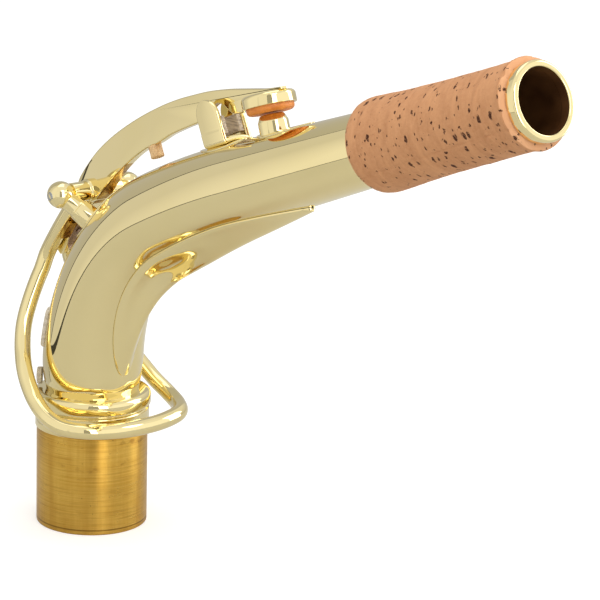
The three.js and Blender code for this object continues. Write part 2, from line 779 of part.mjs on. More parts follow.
function guideSaddleGeometry() {
  return saddleGeometry(guideSaddleStart, guideSaddleLength, guideSaddleHalfWidth, 1 / 2, 8);
}

function postSaddleGeometry() {
  return saddleGeometry(postSaddleStart, postSaddleLength, postSaddleHalfWidth, 1 / 2, 12);
}

const near = -1;
const far = 1;

const pieces = [
  ["neck_tube", tubeGeometry(), lacqueredBrass],
  ["tenon", tenonGeometry(), rawBrass],
  ["tenon_collar", collarGeometry(), lacqueredBrass],
  ["underslung_brace", braceGeometry(), lacqueredBrass],
  ["mouthpiece_cork", corkGeometry(), naturalCork],
  ["tip_ring", tipRingGeometry(), lacqueredBrass],
  ["octave_pip", pipGeometry(), lacqueredBrass],
  ["pip_saddle", pipSaddleGeometry(), lacqueredBrass],
  ["guide_saddle", guideSaddleGeometry(), lacqueredBrass],
  ["guide_fork", guideForkGeometry(), lacqueredBrass],
  ["guide_liner_near", linerGeometry(near), naturalCork],
  ["guide_liner_far", linerGeometry(far), naturalCork],
  ["post_saddle", postSaddleGeometry(), lacqueredBrass],
  ["near_post", postGeometry(near), lacqueredBrass],
  ["far_post", postGeometry(far), lacqueredBrass],
  ["hinge_rod", rodGeometry(), steel],
  ["stop_pad_near", stopGeometry(near), naturalCork],
  ["stop_pad_far", stopGeometry(far), naturalCork],
  ["side_rest", sideRestGeometry(), naturalCork],
  ["hinge_tube", hingeTubeGeometry(), lacqueredBrass],
  ["key_arm", armGeometry(), lacqueredBrass],
  ["pad_cup", cupGeometry(), lacqueredBrass],
  ["key_pad", padGeometry(), padLeather],
  ["arm_bumper", bumperGeometry(), naturalCork],
  ["octave_loop", loopGeometry(), lacqueredBrass],
  ["spring_plate", springPlateGeometry(), lacqueredBrass],
  ["flat_spring", springGeometry(), steel],
  ["spring_screw", springScrewGeometry(), steel],
];

const neck = new THREE.Group();
for (const [name, geometry, look] of pieces) {
  const mesh = new THREE.Mesh(geometry, new THREE.MeshStandardMaterial(look));
  mesh.name = name;
  neck.add(mesh);
}

export default neck;
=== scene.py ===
"""Neck of an alto saxophone with its octave key: the looks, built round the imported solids.

Lengths are in millimetres, as in the part's source, and turn into metres where a mesh is made.
Station is the distance along the neck's centreline and out is towards the outside of its bend.
Some pieces are shaped or sized a little differently from the solids that they stand for.
"""
import json
import math

import bmesh
import bpy
import numpy as np
from mathutils import Matrix, Vector, noise

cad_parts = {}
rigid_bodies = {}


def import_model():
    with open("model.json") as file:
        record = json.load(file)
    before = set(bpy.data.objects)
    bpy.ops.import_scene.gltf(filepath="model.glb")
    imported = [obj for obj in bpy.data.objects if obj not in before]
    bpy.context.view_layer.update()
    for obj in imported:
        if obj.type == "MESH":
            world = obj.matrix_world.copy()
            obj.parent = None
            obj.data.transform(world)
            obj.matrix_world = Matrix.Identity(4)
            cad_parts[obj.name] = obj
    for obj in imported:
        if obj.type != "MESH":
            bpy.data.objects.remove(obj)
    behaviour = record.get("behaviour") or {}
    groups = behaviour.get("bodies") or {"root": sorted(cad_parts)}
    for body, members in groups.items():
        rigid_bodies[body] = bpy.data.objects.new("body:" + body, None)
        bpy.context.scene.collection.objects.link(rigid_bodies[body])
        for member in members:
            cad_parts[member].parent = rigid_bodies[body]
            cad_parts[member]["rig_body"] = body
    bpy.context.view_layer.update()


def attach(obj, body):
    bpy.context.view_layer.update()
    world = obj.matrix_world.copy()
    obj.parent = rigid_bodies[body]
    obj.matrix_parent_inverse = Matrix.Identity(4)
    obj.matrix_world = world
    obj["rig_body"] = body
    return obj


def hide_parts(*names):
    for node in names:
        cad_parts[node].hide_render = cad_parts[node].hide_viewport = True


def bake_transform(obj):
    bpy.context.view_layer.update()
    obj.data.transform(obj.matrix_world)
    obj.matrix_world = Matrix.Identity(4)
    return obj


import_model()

MM = 0.001
HAIR = 0.02
ROUND_SIDES = 128

# Centreline and tube
RISE = 33.7
BEND_RADIUS = 45.2
BEND_ANGLE = math.radians(62.6)
SWEEP_RADIUS = 221
SWEEP_ANGLE = math.radians(7.4)
RUN = 88
BEND_END = RISE + BEND_RADIUS * BEND_ANGLE
SWEEP_END = BEND_END + SWEEP_RADIUS * SWEEP_ANGLE
NECK_LENGTH = SWEEP_END + RUN
TUBE_BASE = 11.2
TUBE_CORK = 7.3
TUBE_TIP = 6.9
WALL = 0.7
FOOT_DRAW = 1.0
FOOT_LOW = math.radians(218)
FOOT_TOP = 42

# Tenon and collar
TENON_LENGTH = 22
TENON_RADIUS = 12.25
TENON_LIP = 2
TENON_LIP_WALL = 1.7
COLLAR_HEIGHT = 8.5
COLLAR_BAND = 12.55
COLLAR_BEAD = 12.9
COLLAR_BEAD_HEIGHT = 3.6
COLLAR_GROOVE = 0.6
COLLAR_TOP = TENON_LENGTH + COLLAR_HEIGHT

# Cork and ring
RING_LENGTH = 2.2
RING_RADIUS = 7.55
CORK_END = NECK_LENGTH - RING_LENGTH - 0.05
CORK_LENGTH = 43.3
CORK_START = CORK_END - CORK_LENGTH
CORK_SEAM = math.radians(-128)
SOLID_CORK_START = NECK_LENGTH - RING_LENGTH - 0.3 - 43

# Stiffening sheet inside the bend
BRACE_START = 36.3
BRACE_LENGTH = 95
BRACE_RISE = 4.7
BRACE_SHOWING = 0.35
BRACE_WIDEST = 0.7
BRACE_HIGHEST = 0.42
BRACE_HALF_ANGLE = math.radians(35)
BRACE_KEEL = 0.1
BRACE_RIM = 0.12
DENT_DEPTH = 1.1
DENT_PLACE = (0.375, 0.33)
DENT_SIZE = (0.31, 0.5)

# Hinge and posts
HINGE_STATION = 67.1
HINGE_RISE = 5.7
BALL_SPREAD = 8.9
BALL_RADIUS = 2.95
POST_FOOT = 2.75
POST_NECK = 2
ROD_RADIUS = 0.95
HINGE_TUBE = 2.2
HINGE_TUBE_END = 6.3
SHOULDER_RADIUS = 2.6
SHOULDER_START = 1.3
SHOULDER_WIDTH = 0.7

# Lever
ARM_THICKNESS = 2
ARM_HEIGHT = 7.6
ARM_CLEARANCE = 4.2
ARM_BEVEL = 0.32
ROOT_SPAN = (0.5, 17)
ROOT_FLARE = 2.2
# Where the browner brass of painted shade ends on the lever's root
SHADE_BRASS_END = 13
NOTCH_SPAN = (38.2, 47)

# Pad, cup and pip
PIP_STATION = 124.6
PIP_BASE = 3.1
PIP_TOP = 2.45
PIP_HEIGHT = 3.6
PIP_BORE = 0.8
PAD_RADIUS = 4.8
PAD_THICKNESS = 3.2
PAD_SHOWING = 1.35
CUP_WALL = 0.45
FIT = 0.3

# Guide
GUIDE_STATION = 109.3
GUIDE_WIDTH = 6.9
GUIDE_LEAN = math.radians(5.5)
GUIDE_BEND = 11.6
GUIDE_OPENING = 5.3
GUIDE_THICKNESS = 1.1
GUIDE_HEIGHT = 9.5
LINER_THICKNESS = 0.9
LINER_HEIGHT = 4.2

# Saddles
SADDLE_SHOWING = 0.2
PIP_SADDLE_BACK = 4.2
PIP_SADDLE_LENGTH = 16.2
PIP_SADDLE = (PIP_STATION - PIP_SADDLE_BACK, PIP_SADDLE_LENGTH, 3.9)
GUIDE_SADDLE = (GUIDE_STATION - 7.5, 15, 4.7)
POST_SADDLE = (HINGE_STATION - 7.6, 16, 9)

# Loop
LOOP_ROD = 1.78
LOOP_FRONT = 16.8
LOOP_FRONT_HEIGHT = 25.2
LOOP_HALF_WIDTH = 16.48
LOOP_BACK = 13.27
LOOP_TAIL = 29

# Corks on the key and the tube, and the disc
BUMPER_STATION = 86.6
BUMPER_RADIUS = 1.5
BUMPER_LENGTH = 2.7
BUMPER_EDGE = 0.07
STOP_STATION = 42.6
STOP_LENGTH = 6.6
STOP_WIDTH = 5
STOP_SHOWING = 0.65
STOP_ANGLE = math.radians(48)
REST_STATION = 32.7
REST_RADIUS = 1.9
REST_THICKNESS = 0.7

# Spring
SPRING_WIDTH = 3.6
SPRING_THICKNESS = 0.3
SPRING_TIP = HINGE_STATION - 12.6
PLATE_SHARE = 0.06
PLATE_LENGTH = 5.2
PLATE_WIDTH = 8.4
PLATE_THICKNESS = 0.6
SCREW_RADIUS = 0.6
SCREW_HEAD = 1.2
SCREW_HEAD_HEIGHT = 0.5
SPRING_SUNK = 0.25

NEAR = -1
SIDES = ((NEAR, "near"), (-NEAR, "far"))


def mixed(a, b, share):
    return a + (b - a) * share


def clamped(value):
    return min(max(value, 0.0), 1.0)


def centreline(station):
    """The centreline's place at a station, and the lean of its tangent from the vertical."""
    on_bend = min(max((station - RISE) / BEND_RADIUS, 0), BEND_ANGLE)
    on_sweep = min(max((station - BEND_END) / SWEEP_RADIUS, 0), SWEEP_ANGLE)
    lean = on_bend + on_sweep
    beyond = max(station - SWEEP_END, 0)
    x = BEND_RADIUS * (1 - math.cos(on_bend))
    x += SWEEP_RADIUS * (math.cos(on_bend) - math.cos(lean)) + beyond * math.sin(lean)
    z = min(station, RISE) + BEND_RADIUS * math.sin(on_bend)
    z += SWEEP_RADIUS * (math.sin(lean) - math.sin(on_bend)) + beyond * math.cos(lean)
    return x, z, lean


def beside_neck(station, out, across=0.0):
    x, z, lean = centreline(station)
    return np.array([x - out * math.cos(lean), across, z + out * math.sin(lean)])


def on_neck(radius, angle, station):
    return beside_neck(station, radius * math.cos(angle), radius * math.sin(angle))


def tube_radius(station):
    if station <= RISE:
        return TUBE_BASE
    if station <= SOLID_CORK_START:
        return mixed(TUBE_BASE, TUBE_CORK, (station - RISE) / (SOLID_CORK_START - RISE))
    share = (station - SOLID_CORK_START) / (NECK_LENGTH - SOLID_CORK_START)
    return mixed(TUBE_CORK, TUBE_TIP, share)


def stations(start, end, step=1.5):
    count = max(2, math.ceil((end - start) / step))
    return [mixed(start, end, i / count) for i in range(count + 1)]


# ---- Meshes

def placed(name, data):
    """An object in the scene for a mesh, a lamp or a camera."""
    made = bpy.data.objects.new(name, data)
    bpy.context.scene.collection.objects.link(made)
    return made


def finished(name, mesh, materials, replaced, body, sharp):
    """A piece with smooth shading that rides on a body and stands for one solid."""
    for material in materials:
        mesh.materials.append(material)
    mesh.shade_smooth()
    mesh.set_sharp_from_angle(angle=math.radians(sharp))
    piece = placed(name, mesh)
    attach(piece, body)
    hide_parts(replaced)
    return piece


def new_piece(name, shape, materials, replaced, body="neck", sharp=35,
              marks=()):
    """A piece from points and faces. marks gives the number of each face's material."""
    points, faces = shape[:2]
    mesh = bpy.data.meshes.new(name)
    mesh.from_pydata([tuple(float(c) * MM for c in p) for p in points], [], faces)
    tidy = bmesh.new()
    tidy.from_mesh(mesh)
    for face, mark in zip(tidy.faces, marks):
        face.material_index = mark
    bmesh.ops.recalc_face_normals(tidy, faces=tidy.faces)
    tidy.to_mesh(mesh)
    tidy.free()
    return finished(name, mesh, materials, replaced, body, sharp)


def turned(profile, place, sides=96):
    """Points and faces of a profile of (radius, height) turned about an axis, and face bands.

    place gives the point for a radius, an angle and a height. A profile that starts on the
    axis also ends there; any other is a ring of its own.
    """
    points, rows = [], []
    for radius, height in profile:
        if radius < 1e-6:
            rows.append([len(points)] * sides)
            points.append(place(0, 0, height))
        else:
            rows.append(list(range(len(points), len(points) + sides)))
            points += [place(radius, math.tau * j / sides, height) for j in range(sides)]
    if profile[0][0] > 0:
        rows.append(rows[0])
    faces, band = [], []
    for k, (low, high) in enumerate(zip(rows, rows[1:])):
        for j in range(sides):
            after = (j + 1) % sides
            corners = list(dict.fromkeys([low[j], low[after], high[after], high[j]]))
            if len(corners) > 2:
                faces.append(corners)
                band.append(k)
    return points, faces, band


def about_z(radius, angle, height):
    return np.array([radius * math.cos(angle), radius * math.sin(angle), height])


def heading(station):
    """The way that the centreline runs at a station."""
    lean = centreline(station)[2]
    return np.array([math.sin(lean), 0, math.cos(lean)])


def standing(station, tilt=0.0):
    """Places a shape turned about a line that leaves the neck's centreline, tilted sideways."""
    x, z, lean = centreline(station)
    along = heading(station)
    flat = np.array([-math.cos(lean), 0, math.sin(lean)])
    across = np.array([0.0, 1.0, 0.0])
    out = flat * math.cos(tilt) + across * math.sin(tilt)
    side = across * math.cos(tilt) - flat * math.sin(tilt)
    centre = np.array([x, 0, z])

    def place(radius, angle, height):
        turn = along * math.cos(angle) + side * math.sin(angle)
        return centre + out * height + turn * radius
    return place


def about_hinge(radius, angle, across):
    return HINGE + np.array([radius * math.cos(angle), across, radius * math.sin(angle)])


HINGE_OUT = tube_radius(HINGE_STATION) + HINGE_RISE
HINGE = beside_neck(HINGE_STATION, HINGE_OUT)


def unit(way):
    return way / np.linalg.norm(way)


def tangents(line):
    """The way that a line runs at each of its points."""
    last = len(line) - 1
    return [unit(line[min(i + 1, last)] - line[max(i - 1, 0)]) for i in range(last + 1)]


def filleted(points, radii, steps=4):
    """A ring with its corners rounded, or a line if its ends have no radius.

    radii is one radius, or one for each point.
    """
    count = len(points)
    if not isinstance(radii, list):
        radii = [radii] * count
    result = []
    for i, point in enumerate(points):
        here = np.array(point, float)
        before = np.array(points[i - 1], float) - here
        after = np.array(points[(i + 1) % count], float) - here
        half = 0
        if radii[i] > 0:
            half = math.acos(max(-1.0, min(1.0, float(unit(before) @ unit(after))))) / 2
        if not 0.02 <= half <= math.pi / 2 - 0.02:
            result.append(tuple(point))
            continue
        shortest = min(np.linalg.norm(before), np.linalg.norm(after))
        tangent = min(radii[i] / math.tan(half), 0.49 * shortest)
        before, after = unit(before), unit(after)
        centre = here + unit(before + after) * (tangent * math.tan(half) / math.sin(half))
        start, end = here + before * tangent - centre, here + after * tangent - centre
        sweep = math.pi - 2 * half
        for k in range(steps + 1):
            a = math.sin((1 - k / steps) * sweep) / math.sin(sweep)
            b = math.sin(k / steps * sweep) / math.sin(sweep)
            result.append(tuple(centre + start * a + end * b))
    return result


def loft(rings):
    """A skin through closed rings of the same number of points, with flat ends."""
    size = len(rings[0])
    points = [p for ring in rings for p in ring]
    faces = []
    for i in range(0, len(points) - size, size):
        for j in range(size):
            after = (j + 1) % size
            faces.append([i + j, i + after, i + size + after, i + size + j])
    faces.append(list(range(size)))
    faces.append(list(range(len(points) - size, len(points))))
    return points, faces


def subdivided(line, step):
    """A line with points added, so that none of its parts is much longer than a step."""
    line = [np.array(p, float) for p in line]
    fine = []
    for a, b in zip(line, line[1:]):
        count = max(1, round(math.dist(a, b) / step))
        fine += [mixed(a, b, k / count) for k in range(count)]
    return [*fine, line[-1]]


def smooth_line(points, count):
    """Points along a centripetal Catmull-Rom curve."""
    knots = [np.array(p, float) for p in points]
    knots = [2 * knots[0] - knots[1], *knots, 2 * knots[-1] - knots[-2]]
    result = []
    spans = len(knots) - 3
    for k in range(count + 1):
        along = spans * k / count
        i = min(int(along), spans - 1)
        share = along - i
        p0, p1, p2, p3 = knots[i:i + 4]
        d1 = max(np.linalg.norm(p1 - p0) ** 0.5, 1e-6)
        d2 = max(np.linalg.norm(p2 - p1) ** 0.5, 1e-6)
        d3 = max(np.linalg.norm(p3 - p2) ** 0.5, 1e-6)
        t1 = ((p1 - p0) / d1 - (p2 - p0) / (d1 + d2) + (p2 - p1) / d2) * d2
        t2 = ((p2 - p1) / d2 - (p3 - p1) / (d2 + d3) + (p3 - p2) / d3) * d2
        a = 2 * p1 - 2 * p2 + t1 + t2
        b = -3 * p1 + 3 * p2 - 2 * t1 - t2
        result.append(((a * share + b) * share + t1) * share + p1)
    return result


# ---- Materials

class Graph:
    """A short way to write the nodes of a material or the world."""

    def __init__(self, tree):
        self.tree = tree
        tree.nodes.clear()

    def node(self, kind, inputs=None, **settings):
        made = self.tree.nodes.new(kind)
        for key, value in settings.items():
            setattr(made, key, value)
        for key, value in (inputs or {}).items():
            socket = made.inputs[key]
            if isinstance(value, bpy.types.NodeSocket):
                self.tree.links.new(value, socket)
            else:
                socket.default_value = value
        return made

    def math(self, operation, a, b=0.0):
        return self.node("ShaderNodeMath", {0: a, 1: b}, operation=operation).outputs[0]

    def range(self, value, low, high, to_low=0.0, to_high=1.0):
        inputs = {0: value, 1: low, 2: high, 3: to_low, 4: to_high}
        return self.node("ShaderNodeMapRange", inputs).outputs[0]

    def mix(self, share, a, b, blend="MIX"):
        inputs = {0: share, 6: a, 7: b}
        made = self.node("ShaderNodeMix", inputs, data_type="RGBA", blend_type=blend)
        return made.outputs[2]

    def noise(self, vector, scale, detail=3.0, roughness=0.5, distortion=0.0):
        if isinstance(scale, tuple):
            vector, scale = self.stretched(vector, scale), 1.0
        inputs = {"Vector": vector, "Scale": scale, "Detail": detail, "Roughness": roughness,
                  "Distortion": distortion}
        return self.node("ShaderNodeTexNoise", inputs).outputs[0]

    def stretched(self, vector, scale, location=(0, 0, 0)):
        inputs = {0: vector, "Scale": scale, "Location": location}
        return self.node("ShaderNodeMapping", inputs).outputs[0]

    def bump(self, height, strength, distance, normal=None):
        inputs = {"Height": height, "Strength": strength, "Distance": distance * MM}
        if normal is not None:
            inputs["Normal"] = normal
        return self.node("ShaderNodeBump", inputs).outputs[0]

    def surface(self, inputs):
        shader = self.node("ShaderNodeBsdfPrincipled", inputs)
        self.node("ShaderNodeOutputMaterial", {"Surface": shader.outputs[0]})
        return shader


def new_material(name):
    material = bpy.data.materials.new(name)
    material.use_nodes = True
    graph = Graph(material.node_tree)
    place = graph.node("ShaderNodeTexCoord").outputs["Object"]
    return material, graph, place


def lacquered(name):
    """Polished brass under clear lacquer: a near mirror with faint clouds and fine dust."""
    material, g, place = new_material(name)
    cloud = g.noise(place, 45, 2)
    colour = g.mix(g.range(cloud, 0.3, 0.7), (0.865, 0.745, 0.39, 1), (0.895, 0.775, 0.43, 1))
    dust = g.range(g.noise(place, 1500, 1), 0.74, 0.80, 0.0, 0.10)
    rough = g.math("ADD", g.range(g.noise(place, 130, 3), 0.3, 0.75, 0.012, 0.035), dust)
    normal = g.bump(g.noise(place, 38, 1), 0.04, 1.0)
    g.surface({"Base Color": colour, "Metallic": 1.0, "Roughness": rough, "Normal": normal,
               "Coat Weight": 0.35, "Coat Roughness": 0.02, "Coat IOR": 1.5,
               "Coat Tint": (1.0, 0.96, 0.86, 1)})
    return material


def raw(name):
    """Bare turned brass: fine rings round the tenon, brushed up and down, stained in places,
    the stains deepening towards the top as painted shade.
    """
    material, g, place = new_material(name)
    rings = g.noise(place, (30, 30, 6500), 3, 0.6)
    coarse = g.noise(place, (45, 45, 1500), 2, 0.5)
    lines = g.noise(g.stretched(place, (110, 110, 3600), (2, 5, 1)), 1.0, 3, 0.6)
    streaks = g.noise(place, (620, 620, 26), 3, 0.6)
    patches = g.noise(place, 130, 4, 0.6)
    stain = g.range(g.noise(place, (190, 190, 420), 4, 0.65), 0.60, 0.72)
    dots = g.range(g.noise(place, 760, 2), 0.73, 0.78)
    height = g.node("ShaderNodeSeparateXYZ", {0: place}).outputs["Z"]
    # Real stains, made stronger towards the top as painted shade.
    stains_and_top_shade = g.math("MULTIPLY", stain, g.range(height, 0.004, 0.020, 0.15, 0.8))
    line = g.math("ABSOLUTE", g.math("SUBTRACT", height, 0.0011))
    line = g.range(line, 0.00008, 0.00022, 1.0, 0.0)
    colour = g.mix(g.range(patches, 0.3, 0.7), (0.56, 0.31, 0.045, 1), (0.72, 0.445, 0.085, 1))
    for share, tone in ((g.range(rings, 0.35, 0.65, 0.0, 0.5), (0.86, 0.59, 0.15, 1)),
                        (g.range(lines, 0.52, 0.64, 0.0, 0.36), (0.40, 0.19, 0.028, 1)),
                        (g.range(streaks, 0.35, 0.7, 0.0, 0.5), (0.50, 0.25, 0.035, 1)),
                        (stains_and_top_shade, (0.34, 0.16, 0.03, 1)),
                        (g.math("MULTIPLY", dots, 0.75), (0.16, 0.07, 0.02, 1)),
                        (g.math("MULTIPLY", line, 0.75), (0.20, 0.10, 0.02, 1))):
        colour = g.mix(share, colour, tone)
    rough = g.range(coarse, 0.25, 0.75, 0.24, 0.34)
    rough = g.math("ADD", rough, g.range(streaks, 0.3, 0.7, 0.0, 0.08))
    normal = g.bump(g.math("ADD", rings, coarse), 0.3, 0.05)
    tangent = g.node("ShaderNodeTangent", direction_type="RADIAL", axis="Z").outputs[0]
    g.surface({"Base Color": colour, "Metallic": 1.0, "Roughness": rough, "Normal": normal,
               "Anisotropic": 0.8, "Anisotropic Rotation": 0.25, "Tangent": tangent})
    return material


def grained(name, scale, dark, light, rough, relief, metal=1.0, detail=3, spread=0.5,
            span=(0.3, 0.7)):
    """One noise sets colour, roughness and relief. Its scale may differ along X, Y and Z."""
    material, g, place = new_material(name)
    grain = g.noise(place, scale, detail, spread)
    g.surface({"Base Color": g.mix(g.range(grain, *span), (*dark, 1), (*light, 1)),
               "Metallic": metal, "Roughness": g.range(grain, 0.3, 0.7, *rough),
               "Normal": g.bump(grain, *relief)})
    return material


def steel(name, dark, light, rough):
    """Turned or rolled steel, with fine lines across the object."""
    return grained(name, (900, 90, 900), dark, light, rough, (0.2, 0.03))


def brushed_strip(name, dark, light, scale):
    """Felt or cork strip, brushed along its length."""
    return grained(name, scale, dark, light, (0.4, 0.7), (0.3, 0.05), 0.0, 4, 0.6, (0.32, 0.68))


def cork_skin(name, pale=False):
    """Natural cork: fine grain, growth streaks and dark pores drawn out round the sleeve."""
    material, g, place = new_material(name)
    flat = g.node("ShaderNodeAttribute", attribute_name="flat").outputs["Vector"]
    grain = g.noise(flat, 1.6, 6, 0.7)
    streak = g.noise(flat, (0.10, 0.10, 0.42), 4, 0.6, 0.6)
    light, dark = (0.68, 0.325, 0.145, 1), (0.50, 0.215, 0.088, 1)
    if pale:
        light, dark = (0.90, 0.50, 0.27, 1), (0.76, 0.36, 0.17, 1)
    colour = g.mix(g.range(streak, 0.3, 0.7), dark, light)
    colour = g.mix(g.range(grain, 0.3, 0.75, 0.0, 0.45), colour, (0.78, 0.43, 0.225, 1))
    wander = g.node("ShaderNodeTexNoise", {"Vector": flat, "Scale": 1.1, "Detail": 3.0})
    spread = g.node("ShaderNodeVectorMath", {0: flat, 1: wander.outputs["Color"]}, operation="ADD")
    holes = None
    for around, along, limit, seed in ((0.44, 0.85, 0.42, 3.1), (0.85, 1.45, 0.40, 17.7),
                                       (0.24, 0.62, 0.22, 41.3)):
        mapped = g.stretched(spread.outputs[0], (around, around, along), (seed, seed, seed))
        cells = g.node("ShaderNodeTexVoronoi", {"Vector": mapped, "Scale": 1.0, "Randomness": 1.0})
        chance = g.node("ShaderNodeSeparateColor", {0: cells.outputs["Color"]}).outputs[0]
        reach = g.math("POWER", g.range(chance, 0.3, 1.0), 1.6)
        reach = g.math("MULTIPLY", reach, limit)
        hole = g.range(g.math("SUBTRACT", reach, cells.outputs["Distance"]), 0.0, 0.07)
        holes = hole if holes is None else g.math("MAXIMUM", holes, hole)
    ragged = g.range(g.noise(flat, 3.2, 3, 0.6), 0.33, 0.47)
    holes = g.math("MULTIPLY", holes, ragged)
    colour = g.mix(g.math("MULTIPLY", holes, 0.96), colour, (0.052, 0.012, 0.004, 1))
    height = g.math("SUBTRACT", g.math("MULTIPLY", grain, 0.35), holes)
    g.surface({"Base Color": colour, "Roughness": g.range(grain, 0.3, 0.7, 0.62, 0.85),
               "Normal": g.bump(height, 0.6, 0.25), "Specular IOR Level": 0.2})
    return material


def pad_leather():
    """Tan leather stretched over the felt of the pad."""
    material, g, place = new_material("pad_leather")
    grain = g.node("ShaderNodeTexVoronoi", {"Vector": place, "Scale": 2600.0}).outputs["Distance"]
    cloud = g.noise(place, 420, 4)
    colour = g.mix(g.range(cloud, 0.3, 0.7), (0.62, 0.17, 0.016, 1), (0.86, 0.30, 0.040, 1))
    g.surface({"Base Color": colour, "Roughness": g.range(cloud, 0.3, 0.7, 0.42, 0.6),
               "Normal": g.bump(g.math("ADD", grain, cloud), 0.35, 0.08)})
    return material


BRASS = lacquered("lacquered_brass")
RAW = raw("raw_brass")
# Dull brown brass inside the tube, darkened as painted shade in the bore, and browner brass as
# painted shade on the lever's root, in its notch and on the spring's seat
SHADED_BORE = grained("shaded_bore_brass", 160, (0.085, 0.030, 0.007), (0.17, 0.068, 0.016),
               (0.5, 0.7), (0.2, 0.2), metal=0.6, detail=4)
SHADE_BRASS = grained("painted_shade_brass", (500, 500, 160), (0.26, 0.12, 0.012), (0.68, 0.42, 0.07),
                (0.14, 0.26), (0.2, 0.2), span=(0.35, 0.65))
STEEL = steel("steel", (0.30, 0.31, 0.31), (0.52, 0.52, 0.51), (0.22, 0.38))
SPRING_STEEL = steel("spring_steel", (0.32, 0.22, 0.16), (0.50, 0.37, 0.28), (0.42, 0.58))
CORK = cork_skin("natural_cork")
CORK_CUT = cork_skin("cut_cork", pale=True)
LEATHER = pad_leather()
LINER = brushed_strip("liner_strip", (0.30, 0.215, 0.15), (0.86, 0.74, 0.58), (260, 900, 2600))
STRIP = brushed_strip("pale_strip", (0.50, 0.42, 0.31), (0.84, 0.78, 0.66), (300, 300, 800))
PEACH = brushed_strip("peach_cork", (0.50, 0.26, 0.09), (0.88, 0.62, 0.32), (900, 900, 500))


def mark_flat(piece, places):
    """Stores each point's place on the straightened neck, for cork's grain to follow."""
    layer = piece.data.attributes.new("flat", "FLOAT_VECTOR", "POINT")
    layer.data.foreach_set("vector", np.array(places, np.float32).ravel())


# ---- Tube, tenon, collar, cork and ring

def drawn_in(angle, station):
    """How far the tube's foot is drawn in just above the collar, uneven round it."""
    apart = (angle - FOOT_LOW + math.pi) % math.tau - math.pi
    reach = 8.6 - 5.2 * math.exp(-(apart / 0.5) ** 2) + 0.5 * math.cos(3 * angle)
    above = (station - COLLAR_TOP) / reach
    return FOOT_DRAW * (1 - clamped(above)) ** 2


def make_tube():
    places = [*stations(TENON_LIP, COLLAR_TOP, 4), *stations(COLLAR_TOP, FOOT_TOP, 0.5)[1:],
              *stations(FOOT_TOP, CORK_END)[1:]]
    outside = [(tube_radius(s), s) for s in places]
    inside = [(tube_radius(s) - WALL, s) for s in reversed(places)]

    def place(radius, angle, station):
        return on_neck(radius - drawn_in(angle, station), angle, station)

    shape = turned([*outside, *inside], place, ROUND_SIDES)
    # Inside faces take the bore brass, darkened as painted shade.
    marks = [int(k >= len(outside)) for k in shape[2]]
    new_piece("tube", shape, [BRASS, SHADED_BORE], "neck_tube", marks=marks)


def make_tenon():
    seat, lip = TUBE_BASE + HAIR, TENON_RADIUS - TENON_LIP_WALL
    profile = [(lip, 0), (TENON_RADIUS, 0), (TENON_RADIUS, TENON_LENGTH), (seat, TENON_LENGTH),
               (seat, TENON_LIP), (lip, TENON_LIP)]
    profile = filleted(profile, [0.2, 0.3, 0.12, 0, 0, 0])
    new_piece("tenon_sleeve", turned(profile, about_z, ROUND_SIDES), [RAW], "tenon")


def make_collar():
    """A band and a bead. The inside of its top closes on the tube's drawn-in foot."""
    bead, top = COLLAR_TOP - COLLAR_BEAD_HEIGHT, COLLAR_TOP
    inner = TUBE_BASE + HAIR
    profile = [(inner, TENON_LENGTH), (COLLAR_BAND, TENON_LENGTH),
               (COLLAR_BAND, bead - COLLAR_GROOVE), (COLLAR_BAND - COLLAR_GROOVE, bead),
               (COLLAR_BEAD, bead + 0.1), (COLLAR_BEAD, top - 0.1),
               (inner - FOOT_DRAW - 0.15, top - 0.25), (inner, top - 3)]
    profile = filleted(profile, [0, 0.25, 0.25, 0.12, 1.5, 1.6, 0, 0], steps=8)
    new_piece("collar", turned(profile, about_z, ROUND_SIDES), [BRASS], "tenon_collar")


CORK_LINE = [(0.0, 8.0), (0.35, 8.7), (1.0, 9.12), (1.9, 9.27), (3, 9.27), (10, 8.92), (18, 8.62),
             (26, 8.42), (34, 8.34), (41.0, 8.36), (42.1, 8.57), (42.6, 8.68), (42.85, 8.58)]
CORK_CUT_LINE = [(43.0, 8.35), (43.15, 8.0), (43.3, 7.6)]


def cork_point(radius, angle, station):
    """A point of the sleeve: uneven, with the lap of its seam and a torn front edge."""
    if radius > tube_radius(station) + 0.3:
        x, y = math.cos(angle), math.sin(angle)
        spot = Vector((x * 1.6, y * 1.6, station * 0.16))
        radius += 0.09 * noise.noise(spot) + 0.05 * noise.noise(spot * 3.1)
        radius += 0.035 * noise.noise(spot * 11)
        turn = (angle - CORK_SEAM - 0.004 * (station - CORK_START) + math.pi) % math.tau - math.pi
        radius -= 0.16 * math.exp(-(turn / 0.018) ** 2)
        near_end = clamped(station - CORK_END + 1.4)
        torn = noise.noise(Vector((x * 5, y * 5, 4.0)))
        radius -= near_end * max(0.0, torn - 0.18) * 0.9
        station -= near_end * 0.35 * (0.5 + noise.noise(Vector((x * 3, y * 3, 9.0))))
    return on_neck(radius, angle, station)


def make_cork():
    outer = subdivided([(r, CORK_START + s) for s, r in CORK_LINE], 0.7)
    cut = [(r, CORK_START + s) for s, r in CORK_CUT_LINE]
    middle = mixed(CORK_START, CORK_END, 0.5)
    inner = [(tube_radius(s) + HAIR, s) for s in (CORK_END, middle, CORK_START)]
    profile = [*outer, *cut, *inner]
    sides = 220
    shape = turned(profile, cork_point, sides)
    marks = [int(len(outer) - 1 <= k < len(outer) + len(cut)) for k in shape[2]]
    piece = new_piece("cork_sleeve", shape, [CORK, CORK_CUT], "mouthpiece_cork",
                      sharp=60, marks=marks)
    mark_flat(piece, [(r * math.cos(math.tau * j / sides), r * math.sin(math.tau * j / sides), s)
                      for r, s in profile for j in range(sides)])


